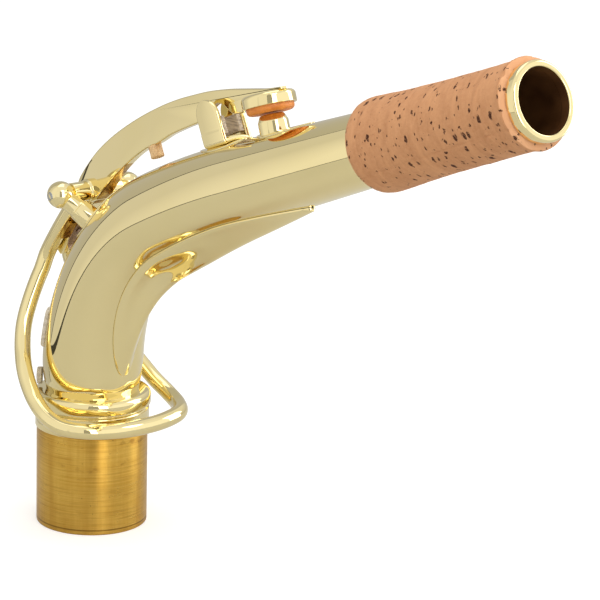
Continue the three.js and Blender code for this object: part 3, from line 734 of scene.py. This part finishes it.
def make_ring():
    bore = TUBE_TIP - WALL
    back, front = NECK_LENGTH - RING_LENGTH, NECK_LENGTH - 0.03
    profile = [(bore, back), (RING_RADIUS, back), (RING_RADIUS, front), (bore, front)]
    profile = filleted(profile, [0, 0.12, 0.75, 0.35], steps=8)
    shape = turned(profile, on_neck, ROUND_SIDES)
    # The ring's bore face takes the bore brass, darkened as painted shade.
    marks = [int(k == len(profile) - 1) for k in shape[2]]
    new_piece("end_ring", shape, [BRASS, SHADED_BORE], "tip_ring", marks=marks)


# ---- Leaves: the stiffening sheet, the saddles and the cork strips

def leaf_width(along, peak, power, end=0.05):
    share = along / peak if along < peak else (1 - along) / (1 - peak)
    return end + (1 - end) * math.sin(math.pi / 2 * clamped(share)) ** power


def leaf(start, length, half_angle, centre, lift, thickness, rows, columns, edge=0.3, seat=HAIR):
    """Rings round a leaf that follows the tube. Its rim is rounded over within the width edge."""
    rings = []
    for i in range(rows + 1):
        along = (1 - math.cos(math.pi * i / rows)) / 2
        station = start + length * along
        half = half_angle(along)
        top, bottom = [], []
        for j in range(columns + 1):
            across = -math.cos(math.pi * j / columns)
            angle = centre + half * across
            base = tube_radius(station) + seat + lift(along, across)
            near_rim = clamped((1 - abs(across)) * half * base / edge)
            near_end = clamped(min(along, 1 - along) * length / edge)
            full = thickness * math.sqrt(1 - (1 - min(near_rim, near_end)) ** 2)
            top.append(on_neck(base + max(full, HAIR), angle, station))
            bottom.append(on_neck(base, angle, station))
        rings.append([*top, *reversed(bottom)])
    return rings


def brace_half(along):
    return BRACE_HALF_ANGLE * leaf_width(along, BRACE_WIDEST, 0.5)


def dented(along, across):
    """The share of the hollow's depth at a spot of the flanks."""
    up = (along - DENT_PLACE[0]) / DENT_SIZE[0]
    aside = (math.hypot(across, 0.06) - DENT_PLACE[1]) / DENT_SIZE[1]
    return max(1 - up ** 2 - aside ** 2, 0) ** 2


def brace_lift(along, across):
    """How far the sheet stands off the tube: from its rims over hollow flanks to a soft keel."""
    rising = math.sin(math.pi / 2 * clamped(along / BRACE_HIGHEST))
    fallen = clamped((along - BRACE_HIGHEST) / (1 - BRACE_HIGHEST))
    rise = BRACE_RISE * min(rising ** 0.85, 1 - 0.9 * fallen ** 1.4)
    tube, half = tube_radius(BRACE_START + BRACE_LENGTH * along), brace_half(along)
    slope = (tube + rise - tube * math.cos(half)) / (tube * math.sin(half))
    reach = math.sin(half)
    soft = math.hypot(math.sin(half * across), BRACE_KEEL) - BRACE_KEEL
    soft /= math.hypot(reach, BRACE_KEEL) - BRACE_KEEL
    sheet = (tube + rise) / (math.cos(half * across) + slope * reach * soft)
    over = sheet - tube - DENT_DEPTH * dented(along, across)
    rim = clamped((1 - abs(across)) / BRACE_RIM)
    return (over + math.hypot(over, 0.2)) / 2 * rim ** 2 * (3 - 2 * rim) + 0.06


def make_brace():
    rings = leaf(BRACE_START, BRACE_LENGTH, brace_half, math.pi, brace_lift, BRACE_SHOWING, 180, 96,
                 edge=0.1, seat=0.0)
    new_piece("stiffening_sheet", loft(rings), [BRASS], "underslung_brace", sharp=50)


def flush(along, across):
    """No lift: the leaf lies on the tube."""
    return 0


def make_saddle(name, size, replaced, widest=0.5):
    start, length, half_width = size
    half = half_width / (tube_radius(start + length * widest) + FIT)
    rings = leaf(start, length, lambda along: half * leaf_width(along, widest, 0.55), 0, flush,
                 SADDLE_SHOWING, 60, 30, edge=0.15)
    new_piece(name, loft(rings), [BRASS], replaced, sharp=50)


def make_stops():
    half = STOP_WIDTH / 2 / (tube_radius(STOP_STATION) + FIT)
    for side, word in SIDES:
        rings = leaf(STOP_STATION - STOP_LENGTH / 2, STOP_LENGTH, lambda along: half,
                     side * STOP_ANGLE, flush, STOP_SHOWING, 16, 12)
        new_piece("rest_cork_" + word, loft(rings), [STRIP], "stop_pad_" + word,
                  sharp=50)


def make_rest():
    """A small disc on the far side of the tube, seen edge-on."""
    bottom = tube_radius(REST_STATION) - 0.1
    top = tube_radius(REST_STATION) + FIT + REST_THICKNESS
    profile = filleted([(0, bottom), (REST_RADIUS, bottom), (REST_RADIUS, top), (0, top)],
                       [0, 0.1, 0.3, 0])
    shape = turned(profile, standing(REST_STATION, -STOP_ANGLE), 40)
    new_piece("side_disc", shape, [STRIP], "side_rest")


# ---- Pip, pad, cup and guide

PIP_HEAD = tube_radius(PIP_STATION) + PIP_HEIGHT
PAD_BOTTOM = PIP_HEAD + FIT
CUP_RIM = PAD_BOTTOM + PAD_SHOWING
CUP_TOP = PAD_BOTTOM + PAD_THICKNESS + FIT + CUP_WALL
CUP_RADIUS = PAD_RADIUS + FIT + CUP_WALL


def make_pip():
    """A short round barrel with a rounded shoulder, its bore open into the tube."""
    foot = tube_radius(PIP_STATION) - 0.65
    bottom = tube_radius(PIP_STATION) - WALL
    shoulder = mixed(foot, PIP_HEAD, 0.66)
    profile = [(PIP_BORE, bottom), (1.5, bottom), (1.5, foot), (PIP_BASE, foot),
               (PIP_BASE, shoulder), (PIP_TOP, PIP_HEAD), (PIP_BORE, PIP_HEAD)]
    profile = filleted(profile, [0, 0, 0, 0.1, 0.6, 0.5, 0.2])
    new_piece("vent_pip", turned(profile, standing(PIP_STATION), 64), [BRASS], "octave_pip")


def make_pad():
    top = PAD_BOTTOM + PAD_THICKNESS
    dip, side = PAD_BOTTOM + 0.12, PAD_RADIUS + 0.08
    profile = [(0, dip), (PIP_TOP - 0.5, dip), (PIP_TOP + 0.6, PAD_BOTTOM), (side, PAD_BOTTOM),
               (side, top), (0, top)]
    profile = filleted(profile, [0, 0.4, 0.5, 0.85, 0.5, 0], steps=8)
    shape = turned(profile, standing(PIP_STATION), 96)
    pad = new_piece("leather_pad", shape, [LEATHER], "key_pad", "octave_key", 60)


def make_cup():
    inside = PAD_RADIUS + 0.1
    ceiling = CUP_TOP - CUP_WALL
    profile = [(0, ceiling), (inside, ceiling), (inside, CUP_RIM), (CUP_RADIUS, CUP_RIM),
               (CUP_RADIUS, CUP_TOP), (0, CUP_TOP)]
    profile = filleted(profile, [0, 0.2, 0.15, 0.15, 0.95, 0], steps=8)
    shape = turned(profile, standing(PIP_STATION), 96)
    new_piece("cup", shape, [BRASS], "pad_cup", "octave_key")


def rounded_strip(width, thickness, corner=0.4, steps=5):
    """Cross-section of a strip with rounded edges, as (across its width, through it)."""
    corner = min(corner, width * 0.49, thickness * 0.49)
    w, t = width / 2, thickness / 2
    return filleted([(-w, -t), (w, -t), (w, t), (-w, t)], corner, steps=steps)


def guide_path(top):
    """The middle of the guide's strip, across the neck and out: up one tine and down the other."""
    middle = GUIDE_OPENING / 2 + GUIDE_THICKNESS / 2
    round_tube = tube_radius(GUIDE_STATION) + SADDLE_SHOWING + GUIDE_THICKNESS / 2
    half_turn = math.asin(middle / round_tube)
    floor = [(round_tube * math.sin(a), round_tube * math.cos(a))
             for a in (half_turn * k / 4 for k in range(-4, 5))]
    path = filleted([(-middle, top), *floor, (middle, top)], [0, 0.4, *[0] * 7, 0.4, 0],
                    steps=10)
    return subdivided(path, 0.25), round_tube


def make_guide():
    """A flat strip with round ends, bent to a U round the lever and leaning back."""
    top = tube_radius(GUIDE_STATION) + GUIDE_HEIGHT
    path, floor = guide_path(top)
    along = heading(GUIDE_STATION)
    half = GUIDE_WIDTH / 2
    rings = []
    for here, step in zip(path, tangents(path)):
        down = max(here[1] - (top - half), 0) / half
        width = GUIDE_WIDTH * math.sqrt(max(1 - min(down, 0.998) ** 2, 0))
        thick = GUIDE_THICKNESS * (1.0 if here[1] > GUIDE_BEND else 1.12)
        if abs(here[1] - GUIDE_BEND) < 0.13:
            thick *= 0.8
        back = (here[1] - floor) * math.tan(GUIDE_LEAN)
        ring = []
        for w, t in rounded_strip(width, thick, 0.54):
            spot = here + np.array([step[1], -step[0]]) * t
            ring.append(beside_neck(GUIDE_STATION, spot[1], spot[0]) + along * (w - back))
        rings.append(ring)
    new_piece("lever_guide", loft(rings), [BRASS], "guide_fork", sharp=50)


def make_liners():
    """A strip inside each tine, its two ends slightly wavy."""
    seat = tube_radius(GUIDE_STATION) + SADDLE_SHOWING + GUIDE_THICKNESS - 0.35
    along = heading(GUIDE_STATION)
    depth = LINER_THICKNESS + FIT
    face = GUIDE_OPENING / 2 + HAIR - depth / 2
    strip = rounded_strip(GUIDE_WIDTH - 2 * FIT - 0.4, depth, 0.25)
    for side, word in SIDES:
        rings = []
        for k in range(9):
            out = seat + 0.95 + (LINER_HEIGHT - 0.6) * k / 8
            back = (out - seat) * math.tan(GUIDE_LEAN)
            wave = 0.04 if k in (0, 8) else 0
            rings.append([beside_neck(GUIDE_STATION, out + wave * math.sin(w * 5), side * (face + t))
                          + along * (w - back) for w, t in strip])
        new_piece("guide_strip_" + word, loft(rings), [LINER], "guide_liner_" + word,
                  sharp=50)


# ---- Hinge

POST_ANGLE = math.atan2(BALL_SPREAD, HINGE_OUT)
POST_REACH = math.hypot(BALL_SPREAD, HINGE_OUT)


def make_posts():
    foot = tube_radius(HINGE_STATION) - 0.4
    neck = POST_REACH - math.sqrt(BALL_RADIUS ** 2 - POST_NECK ** 2)
    step = mixed(foot, neck, 0.56)
    line = [(0, foot), (POST_FOOT, foot), (2.42, step), (2.18, step + 0.12), (2.12, step + 0.45),
            (POST_NECK - 0.02, neck - 0.1)]
    line = filleted(line, [0, 0.15, 0.08, 0.06, 0.1, 0])
    start = -math.acos(POST_NECK / BALL_RADIUS)
    ball = [(BALL_RADIUS * math.cos(a), POST_REACH + BALL_RADIUS * math.sin(a))
            for a in (mixed(start, math.pi / 2, k / 28) for k in range(29))]
    ball[-1] = (0, ball[-1][1])
    for side, word in SIDES:
        shape = turned([*line, *ball], standing(HINGE_STATION, side * POST_ANGLE), 72)
        new_piece("hinge_post_" + word, shape, [BRASS], word + "_post", sharp=30)


def cut_slot(piece, near):
    """Cuts the driver's slot into the head of the hinge screw."""
    slot = bpy.data.meshes.new("slot_cutter")
    cutter = bmesh.new()
    bmesh.ops.create_cube(cutter, size=1.0)
    turn = Matrix.Rotation(math.radians(-38), 4, "Y")
    where = Matrix.Translation(Vector((HINGE[0], near, HINGE[2])) * MM)
    scale = Matrix.Diagonal(Vector((0.36, 1.1, 4.0, 1000)) * MM)
    bmesh.ops.transform(cutter, matrix=where @ turn @ scale, verts=cutter.verts)
    cutter.to_mesh(slot)
    cutter.free()
    tool = placed("slot_cutter", slot)
    made = piece.modifiers.new("slot", "BOOLEAN")
    made.operation, made.object, made.solver = "DIFFERENCE", tool, "EXACT"
    bpy.context.view_layer.update()
    graph = bpy.context.evaluated_depsgraph_get()
    cut = bpy.data.meshes.new_from_object(piece.evaluated_get(graph))
    piece.modifiers.clear()
    piece.data = cut
    cut.set_sharp_from_angle(angle=math.radians(30))
    bpy.data.objects.remove(tool)


def make_rod():
    """The hinge screw: its slotted head shows on the near ball, the rest is inside."""
    near, far = -BALL_SPREAD - BALL_RADIUS + HAIR, BALL_SPREAD - FIT
    profile = filleted([(0, near), (ROD_RADIUS, near), (ROD_RADIUS, far), (0, far)],
                       [0, 0.2, 0.1, 0])
    shape = turned(profile, about_hinge, 48)
    cut_slot(new_piece("hinge_screw", shape, [STEEL], "hinge_rod"), near)


def make_barrel():
    bore = ROD_RADIUS + HAIR
    shoulder = SHOULDER_START + SHOULDER_WIDTH
    half = [(SHOULDER_RADIUS, SHOULDER_START - 0.25), (SHOULDER_RADIUS, shoulder),
            (HINGE_TUBE, shoulder + 0.35), (HINGE_TUBE, HINGE_TUBE_END)]
    profile = [(bore, -HINGE_TUBE_END), *[(r, -y) for r, y in reversed(half)], *half,
               (bore, HINGE_TUBE_END)]
    radii = [0, 0.12, 0.3, 0.2, 0, 0, 0.2, 0.3, 0.12, 0]
    shape = turned(filleted(profile, radii), about_hinge, 64)
    new_piece("key_barrel", shape, [BRASS], "hinge_tube", "octave_key")


# ---- Loop and lever

LOOP_LINE = [(1, 0, 0), (1, 0.421, 0.007), (0.893, 0.756, 0.016), (0.637, 0.946, 0.023),
             (0.369, 0.998, 0.049), (0.088, 0.979, 0.094), (-0.174, 0.936, 0.15),
             (-0.414, 0.873, 0.21)]
LOOP_TAIL_LINE = [(1, 0.767, -0.374), (0.905, 0.665, 0.098), (0.838, 0.581, 0.381),
                  (0.75, 0.459, 0.692), (0.663, 0.339, 0.955), (0.599, 0.248, 1.14)]
LOOP_END_LINE = [(0.52, 1.291), (0.275, 1.075), (0.066, 1.008)]
LOOP_BESIDE = ARM_THICKNESS / 2 + FIT + LOOP_ROD


def half_loop():
    rise = HINGE[2] - LOOP_FRONT_HEIGHT
    route = []
    for reach, width, height in LOOP_LINE:
        x = reach * (LOOP_FRONT if reach > 0 else LOOP_BACK)
        route.append(np.array([x, width * LOOP_HALF_WIDTH, LOOP_FRONT_HEIGHT + height * rise]))
    ends = [(reach, LOOP_BESIDE, over) for reach, over in LOOP_END_LINE]
    tail = [(reach, width * LOOP_HALF_WIDTH, over) for reach, width, over in LOOP_TAIL_LINE]
    for reach, across, over in tail + ends:
        station = HINGE_STATION - reach * LOOP_TAIL
        route.append(beside_neck(station, tube_radius(station) + over * HINGE_RISE, across))
    return route


def make_loop():
    half = half_loop()
    near = [p * np.array([1, NEAR, 1]) for p in half[1:]][::-1]
    route = smooth_line([*near, *half], 420)
    last = len(route) - 1
    rings = []
    side = np.array([0.0, 0.0, 1.0])
    ends = [(0.0, 0.6), (0.12, 0.38), (0.3, 0.17), (0.6, 0.0)]
    for i, (here, tangent) in enumerate(zip(route, tangents(route))):
        side = unit(side - tangent * (side @ tangent))
        other = np.cross(tangent, side)
        spots = [(0.0, 0.0)]
        if i == 0:
            spots = ends
        elif i == last:
            spots = [(-a, b) for a, b in reversed(ends)]
        elif i < 3 or i > last - 3:
            continue
        for shift, less in spots:
            radius = LOOP_ROD - less
            rings.append([here + tangent * shift + radius * (side * math.cos(a) + other * math.sin(a))
                          for a in (math.tau * k / 36 for k in range(36))])
    new_piece("loop_rod", loft(rings), [BRASS], "octave_loop", "octave_key", sharp=60)


ARM_TOP = [(-0.06, 0.5), (-0.045, 0.66), (-0.02, 0.77), (0.018, 0.82), (0.09, 0.88), (0.178, 0.905),
           (0.3, 0.953), (0.44, 0.996), (0.534, 0.995), (0.62, 0.963), (0.708, 0.926),
           (0.8, 0.847), (0.887, 0.747), (0.955, 0.665), (1, 0.61)]
ARM_NOTCH = [(0.89, 0.14), (0.812, 0.17), (0.785, 0.34), (0.768, 0.46), (0.745, 0.535),
             (0.72, 0.53), (0.695, 0.45), (0.665, 0.23)]
ARM_LOW = [(0.64, 0.2), (0.53, 0.17), (0.45, 0.14), (0.375, BUMPER_EDGE), (0.305, BUMPER_EDGE),
           (0.23, 0), (0.135, -0.08), (0.06, -0.13), (-0.02, -0.14)]


def arm_point(share, height):
    station = mixed(HINGE_STATION, PIP_STATION, share)
    return beside_neck(station, tube_radius(station) + ARM_CLEARANCE + ARM_HEIGHT * height)


def flare_root(plate):
    """Thickens the lever's far side towards its root, and marks its underside at the root and in
    the notch with browner brass as painted shade."""
    x0, x1 = ROOT_SPAN
    for corner in plate.verts:
        share = clamped((x1 - corner.co.x / MM) / (x1 - x0))
        if corner.co.y > 0 and share > 0:
            corner.co.y += ROOT_FLARE * MM * share ** 1.5
    plate.normal_update()
    # Faces under the root and in the notch take browner brass as painted shade.
    for face in plate.faces:
        spot = face.calc_center_median() / MM
        at_root = x0 < spot.x < SHADE_BRASS_END and face.normal.x > 0.3
        at_notch = NOTCH_SPAN[0] < spot.x < NOTCH_SPAN[1] and face.normal.z < -0.05
        if (at_root or at_notch) and abs(face.normal.y) < 0.6:
            face.material_index = 1


def arm_outline():
    """The lever's outline: over its top, the cup, the notch, its lower edge and its tail."""
    seat = CUP_TOP - 0.1
    blade_end = PIP_STATION + CUP_RADIUS
    top = smooth_line([*[arm_point(*p) for p in ARM_TOP], beside_neck(blade_end, seat + 0.45)], 150)
    over_cup = [beside_neck(blade_end, seat), beside_neck(PIP_STATION - CUP_RADIUS - 0.2, seat)]
    notch = smooth_line([arm_point(*p) for p in ARM_NOTCH], 60)
    low = smooth_line([arm_point(*p) for p in ARM_LOW], 70)
    route = smooth_line(half_loop(), 400)
    tail = []
    end, root = route[-48], route[-10]
    for spot, towards, side in ((root, route[-1], 1), (end, root, 1), (end, root, -1)):
        line = unit((towards - spot) * np.array([1, 0, 1]))
        tail.append(spot * np.array([1, 0, 1]) + side * 1.7 * np.array([line[2], 0, -line[0]]))
    return [*top, *over_cup, *notch, *low, *tail]


def make_arm():
    """The lever: an upright plate with its edges rounded over, seated on the cup."""
    plate = bmesh.new()
    corners = [plate.verts.new(Vector((p[0], -ARM_THICKNESS / 2, p[2])) * MM)
               for p in arm_outline()]
    face = plate.faces.new(corners)
    made = bmesh.ops.extrude_face_region(plate, geom=[face])
    moved = [v for v in made["geom"] if isinstance(v, bmesh.types.BMVert)]
    bmesh.ops.translate(plate, verts=moved, vec=Vector((0, ARM_THICKNESS * MM, 0)))
    bmesh.ops.recalc_face_normals(plate, faces=plate.faces)
    rims = [e for e in plate.edges if any(len(f.verts) > 8 for f in e.link_faces)]
    bmesh.ops.bevel(plate, geom=rims, offset=ARM_BEVEL * MM, segments=4, profile=0.5,
                    affect="EDGES", clamp_overlap=False)
    flare_root(plate)
    mesh = bpy.data.meshes.new("lever")
    plate.to_mesh(mesh)
    plate.free()
    finished("lever", mesh, [BRASS, SHADE_BRASS], "key_arm", "octave_key", 35)


def make_bumper():
    top = tube_radius(BUMPER_STATION) + ARM_CLEARANCE + ARM_HEIGHT * BUMPER_EDGE + 0.05
    bottom = top - BUMPER_LENGTH
    profile = filleted([(0, bottom), (BUMPER_RADIUS, bottom), (BUMPER_RADIUS, top), (0, top)],
                       [0, 0.3, 0.12, 0])
    stand = standing(BUMPER_STATION)

    def place(radius, angle, height):
        spot = Vector((math.cos(angle) * radius, math.sin(angle) * radius, height))
        grown = radius * (1 + 0.05 * noise.noise(spot * 1.3) - 0.03)
        return stand(grown, angle, height)

    shape = turned(subdivided(profile, 0.3), place, 48)
    new_piece("lever_cork", shape, [PEACH], "arm_bumper", "octave_key", 60)


# ---- Spring and its plate

def spring_frame():
    route = smooth_line(half_loop(), 400)
    count = len(route) - 1
    centre = route[round(count * (1 - PLATE_SHARE))] * np.array([1, 0, 1])
    ahead = route[round(count * (1 - PLATE_SHARE / 2))] * np.array([1, 0, 1])
    along = unit(ahead - centre)
    out = np.array([-along[2], 0, along[0]])
    return centre, along, out, np.cross(along, out)


def block(centre, axes, size, corner=0.12):
    """Rings of a plate with its ends drawn in: axes are its length, its depth and its width."""
    length, depth, width = size
    rings = []
    for k in range(6):
        inset = corner if k in (0, 5) else 0
        place = mixed(-length / 2, length / 2, k / 5)
        strip = rounded_strip(width - 2 * inset, depth - 2 * inset * 0.4, corner)
        rings.append([centre + axes[0] * place + axes[2] * w + axes[1] * t for w, t in strip])
    return rings


def spring_line(at, depth, tip):
    """The leaf's middle: flat along its seat, then curved down to the tube."""
    root, bend = at(-PLATE_LENGTH / 2, depth), at(-PLATE_LENGTH, depth)
    line = [at(PLATE_LENGTH / 2, depth)]
    for k in range(25):
        t = k / 24
        line.append(root * (1 - t) ** 2 + 2 * bend * t * (1 - t) + tip * t * t)
    return line


def make_spring():
    """The leaf spring, its seat under the loop's root and its screw."""
    centre, along, out, side = spring_frame()
    plate_depth = LOOP_ROD + FIT
    spring_depth = plate_depth + PLATE_THICKNESS + FIT
    plate = block(centre - out * (plate_depth + PLATE_THICKNESS / 2 - 0.15), (along, out, side),
                  (PLATE_LENGTH, PLATE_THICKNESS + 0.3, PLATE_WIDTH))
    # The seat under the loop's root takes the browner brass as painted shade.
    new_piece("spring_seat", loft(plate), [SHADE_BRASS], "spring_plate", "octave_key", sharp=50)

    def at(forward, depth):
        return centre + along * forward - out * depth

    tip = beside_neck(SPRING_TIP, tube_radius(SPRING_TIP) + 0.05 + SPRING_THICKNESS)
    line = spring_line(at, spring_depth - SPRING_SUNK, tip)
    rings = []
    for k, (here, step) in enumerate(zip(line, tangents(line))):
        through = np.cross(step, np.array([0, 1.0, 0]))
        width = SPRING_WIDTH * (1 - 0.35 * max(0, (k - 12) / 13))
        rings.append([here + np.array([0, w, 0]) - through * t
                      for w, t in rounded_strip(width, SPRING_THICKNESS, 0.1)])
    spring = new_piece("leaf_spring", loft(rings), [SPRING_STEEL], "flat_spring", "octave_key",
                       50)
    spring.parent = None
    del spring["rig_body"]
    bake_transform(spring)

    head = SPRING_SUNK - spring_depth - SPRING_THICKNESS
    end = head - SCREW_HEAD_HEIGHT
    profile = filleted([(0, end), (SCREW_HEAD, end), (SCREW_HEAD, head), (SCREW_RADIUS, head),
                        (SCREW_RADIUS, -plate_depth), (0, -plate_depth)],
                       [0, 0.3, 0.05, 0, 0, 0])

    def place(radius, angle, height):
        return centre + out * height + (along * math.cos(angle) + side * math.sin(angle)) * radius

    shape = turned(profile, place, 40)
    new_piece("seat_screw", shape, [SPRING_STEEL], "spring_screw", "octave_key")


make_tube()
make_tenon()
make_collar()
make_cork()
make_ring()
make_brace()
make_saddle("pip_plate", PIP_SADDLE, "pip_saddle", widest=PIP_SADDLE_BACK / PIP_SADDLE_LENGTH)
make_saddle("guide_plate", GUIDE_SADDLE, "guide_saddle")
make_saddle("post_plate", POST_SADDLE, "post_saddle")
make_stops()
make_rest()
make_pip()
make_pad()
make_cup()
make_guide()
make_liners()
make_posts()
make_rod()
make_barrel()
make_loop()
make_arm()
make_bumper()
make_spring()


# ---- Floor, light tent, lamps and camera

CARD_TINT = (1, 0.985, 0.965, 1)
FRONT_WAY = (0.73, -0.64, 0.24)
WALL_DIM = (-122, -78)


def flat_panel(name, corners, material):
    mesh = bpy.data.meshes.new(name)
    mesh.from_pydata([tuple(c * MM for c in p) for p in corners], [], [list(range(len(corners)))])
    mesh.materials.append(material)
    panel = placed(name, mesh)
    return panel


def glow(name, level, far_level=None):
    """A card of the light tent. With a far level it dims along the wall, towards -X."""
    material, g, place = new_material(name)
    along = g.node("ShaderNodeSeparateXYZ", {0: place}).outputs["X"]
    far = level if far_level is None else far_level
    strength = g.range(along, WALL_DIM[0] * MM, WALL_DIM[1] * MM, far, level)
    light = g.node("ShaderNodeEmission", {"Color": CARD_TINT, "Strength": strength})
    g.node("ShaderNodeOutputMaterial", {"Surface": light.outputs[0]})
    return material


def make_floor():
    """Pale floor: white where nothing shades it, a little greyer in the brass."""
    material = bpy.data.materials.new("pale_floor")
    material.use_nodes = True
    g = Graph(material.node_tree)
    paths = g.node("ShaderNodeLightPath").outputs
    matt = g.node("ShaderNodeBsdfDiffuse", {"Color": (0.60, 0.60, 0.59, 1)}).outputs[0]
    level = g.math("MULTIPLY", paths["Is Camera Ray"], 0.50)
    lift = g.node("ShaderNodeEmission", {"Color": (1, 1, 1, 1), "Strength": level})
    both = g.node("ShaderNodeAddShader", {0: matt, 1: lift.outputs[0]}).outputs[0]
    g.node("ShaderNodeOutputMaterial", {"Surface": both})
    size = 30000
    flat_panel("floor", [(-size, -size, 0), (size, -size, 0), (size, size, 0), (-size, size, 0)],
               material)


def make_tent():
    """Cards round the object that only its polish sees, with thin dark seams between them."""
    wall, wall_far, wall_near = 420, (-280, 74), (60, -330)
    edge, edge_far = (-66, -36), (-150, 260)
    cards = [
        ("card_left", wall_far, wall_near, 4, wall, glow("bright_card", 0.99, 0.74)),
        ("seam_floor", wall_far, wall_near, 0.4, 4, glow("floor_seam", 0.06)),
        ("card_back", edge, edge_far, 0.5, 330, glow("grey_card", 0.53)),
        ("seam_back", edge, (edge[0] + 2.2, edge[1] - 1.6), 0.4, 330, glow("edge_seam", 0.06)),
        ("front_left", (120, -500), (395, -385), 4, 420, glow("cream_card", 0.98)),
        ("opening_left", (395, -385), (401, -379), 4, 560, glow("opening_rim", 0.12)),
        ("opening", (401, -379), (498, -232), 4, 560, glow("grey_opening", 0.42)),
        ("opening_right", (498, -232), (502, -226), 4, 560, glow("opening_rim_right", 0.12)),
        ("front_right", (504, -224), (560, -60), 4, 420, glow("strong_card", 4.2)),
        ("front_wall", (560, -60), (290, 340), 4, 420, glow("white_card", 1.15)),
        ("side_right", (270, 322), (157, 389), 4, 420, glow("side_card", 4.5)),
    ]
    for name, start, end, low, high, material in cards:
        corners = [(*start, low), (*end, low), (*end, high), (*start, high)]
        card = flat_panel(name, corners, material)
        card.visible_camera = False
        card.visible_diffuse = False
        card.visible_shadow = False


def make_world():
    world = bpy.data.worlds.new("tent")
    bpy.context.scene.world = world
    world.use_nodes = True
    g = Graph(world.node_tree)
    paths = g.node("ShaderNodeLightPath").outputs
    way = g.node("ShaderNodeTexCoord").outputs["Generated"]
    height = g.node("ShaderNodeSeparateXYZ", {0: way}).outputs["Z"]
    front = g.node("ShaderNodeVectorMath", {0: way, 1: FRONT_WAY}, operation="DOT_PRODUCT")
    behind = g.range(height, 0.0, 0.55, 0.56, 0.86)
    before = g.range(height, -0.05, 0.45, 0.84, 0.97)
    side = g.range(front.outputs["Value"], -0.15, 0.05)
    level = g.math("ADD", behind, g.math("MULTIPLY", side, g.math("SUBTRACT", before, behind)))
    tint = (1, 0.985, 0.955, 1)
    around = g.node("ShaderNodeBackground", {"Color": tint, "Strength": level}).outputs[0]
    plain = g.node("ShaderNodeBackground", {"Color": (1, 1, 1, 1), "Strength": 1.0}).outputs[0]
    both = g.node("ShaderNodeMixShader", {0: paths["Is Camera Ray"], 1: around, 2: plain}).outputs[0]
    g.node("ShaderNodeOutputWorld", {"Surface": both})


def area_lamp(name, azimuth, elevation, distance, size, power):
    """A square lamp that faces the object. Azimuth is turned from +X towards +Y."""
    light = bpy.data.lights.new(name, "AREA")
    light.shape = "SQUARE"
    light.size = size * MM
    light.energy = power
    lamp = placed(name, light)
    a, e = math.radians(azimuth), math.radians(elevation)
    away = Vector((math.cos(a) * math.cos(e), math.sin(a) * math.cos(e), math.sin(e)))
    target = Vector((50, 0, 60)) * MM
    lamp.location = target + away * (distance * MM)
    lamp.rotation_mode = "QUATERNION"
    lamp.rotation_quaternion = away.to_track_quat("Z", "Y")
    lamp.visible_camera = False
    return lamp


CAMERA_AZIMUTH = math.radians(48.8494)
CAMERA_ROLL = math.radians(1.5519)
CAMERA_BACK = Vector((0.72850, -0.63664, 0.25293)).normalized()
CAMERA_PLACE = Vector((466.9106, -347.9951, 203.1865)) * MM
CAMERA_LENS = 164.7907
CAMERA_SENSOR = 36


def make_camera():
    data = bpy.data.cameras.new("camera")
    data.sensor_width = CAMERA_SENSOR
    data.lens = CAMERA_LENS
    data.clip_start = 10 * MM
    data.clip_end = 100
    camera = placed("camera", data)
    right = Vector((math.cos(CAMERA_AZIMUTH), math.sin(CAMERA_AZIMUTH), 0))
    up = CAMERA_BACK.cross(right)
    turned_right = right * math.cos(CAMERA_ROLL) + up * math.sin(CAMERA_ROLL)
    turned_up = up * math.cos(CAMERA_ROLL) - right * math.sin(CAMERA_ROLL)
    axes = Matrix((turned_right, turned_up, CAMERA_BACK)).transposed()
    camera.matrix_world = Matrix.Translation(CAMERA_PLACE) @ axes.to_4x4()
    bpy.context.scene.camera = camera


make_floor()
make_tent()
make_world()
area_lamp("key_lamp", -18, 38, 900, 420, 1.6)
area_lamp("side_lamp", 71, 30, 900, 380, 1.0)
area_lamp("top_lamp", 150, 75, 900, 600, 1.0)
make_camera()
bpy.context.scene.view_settings.view_transform = "Standard"
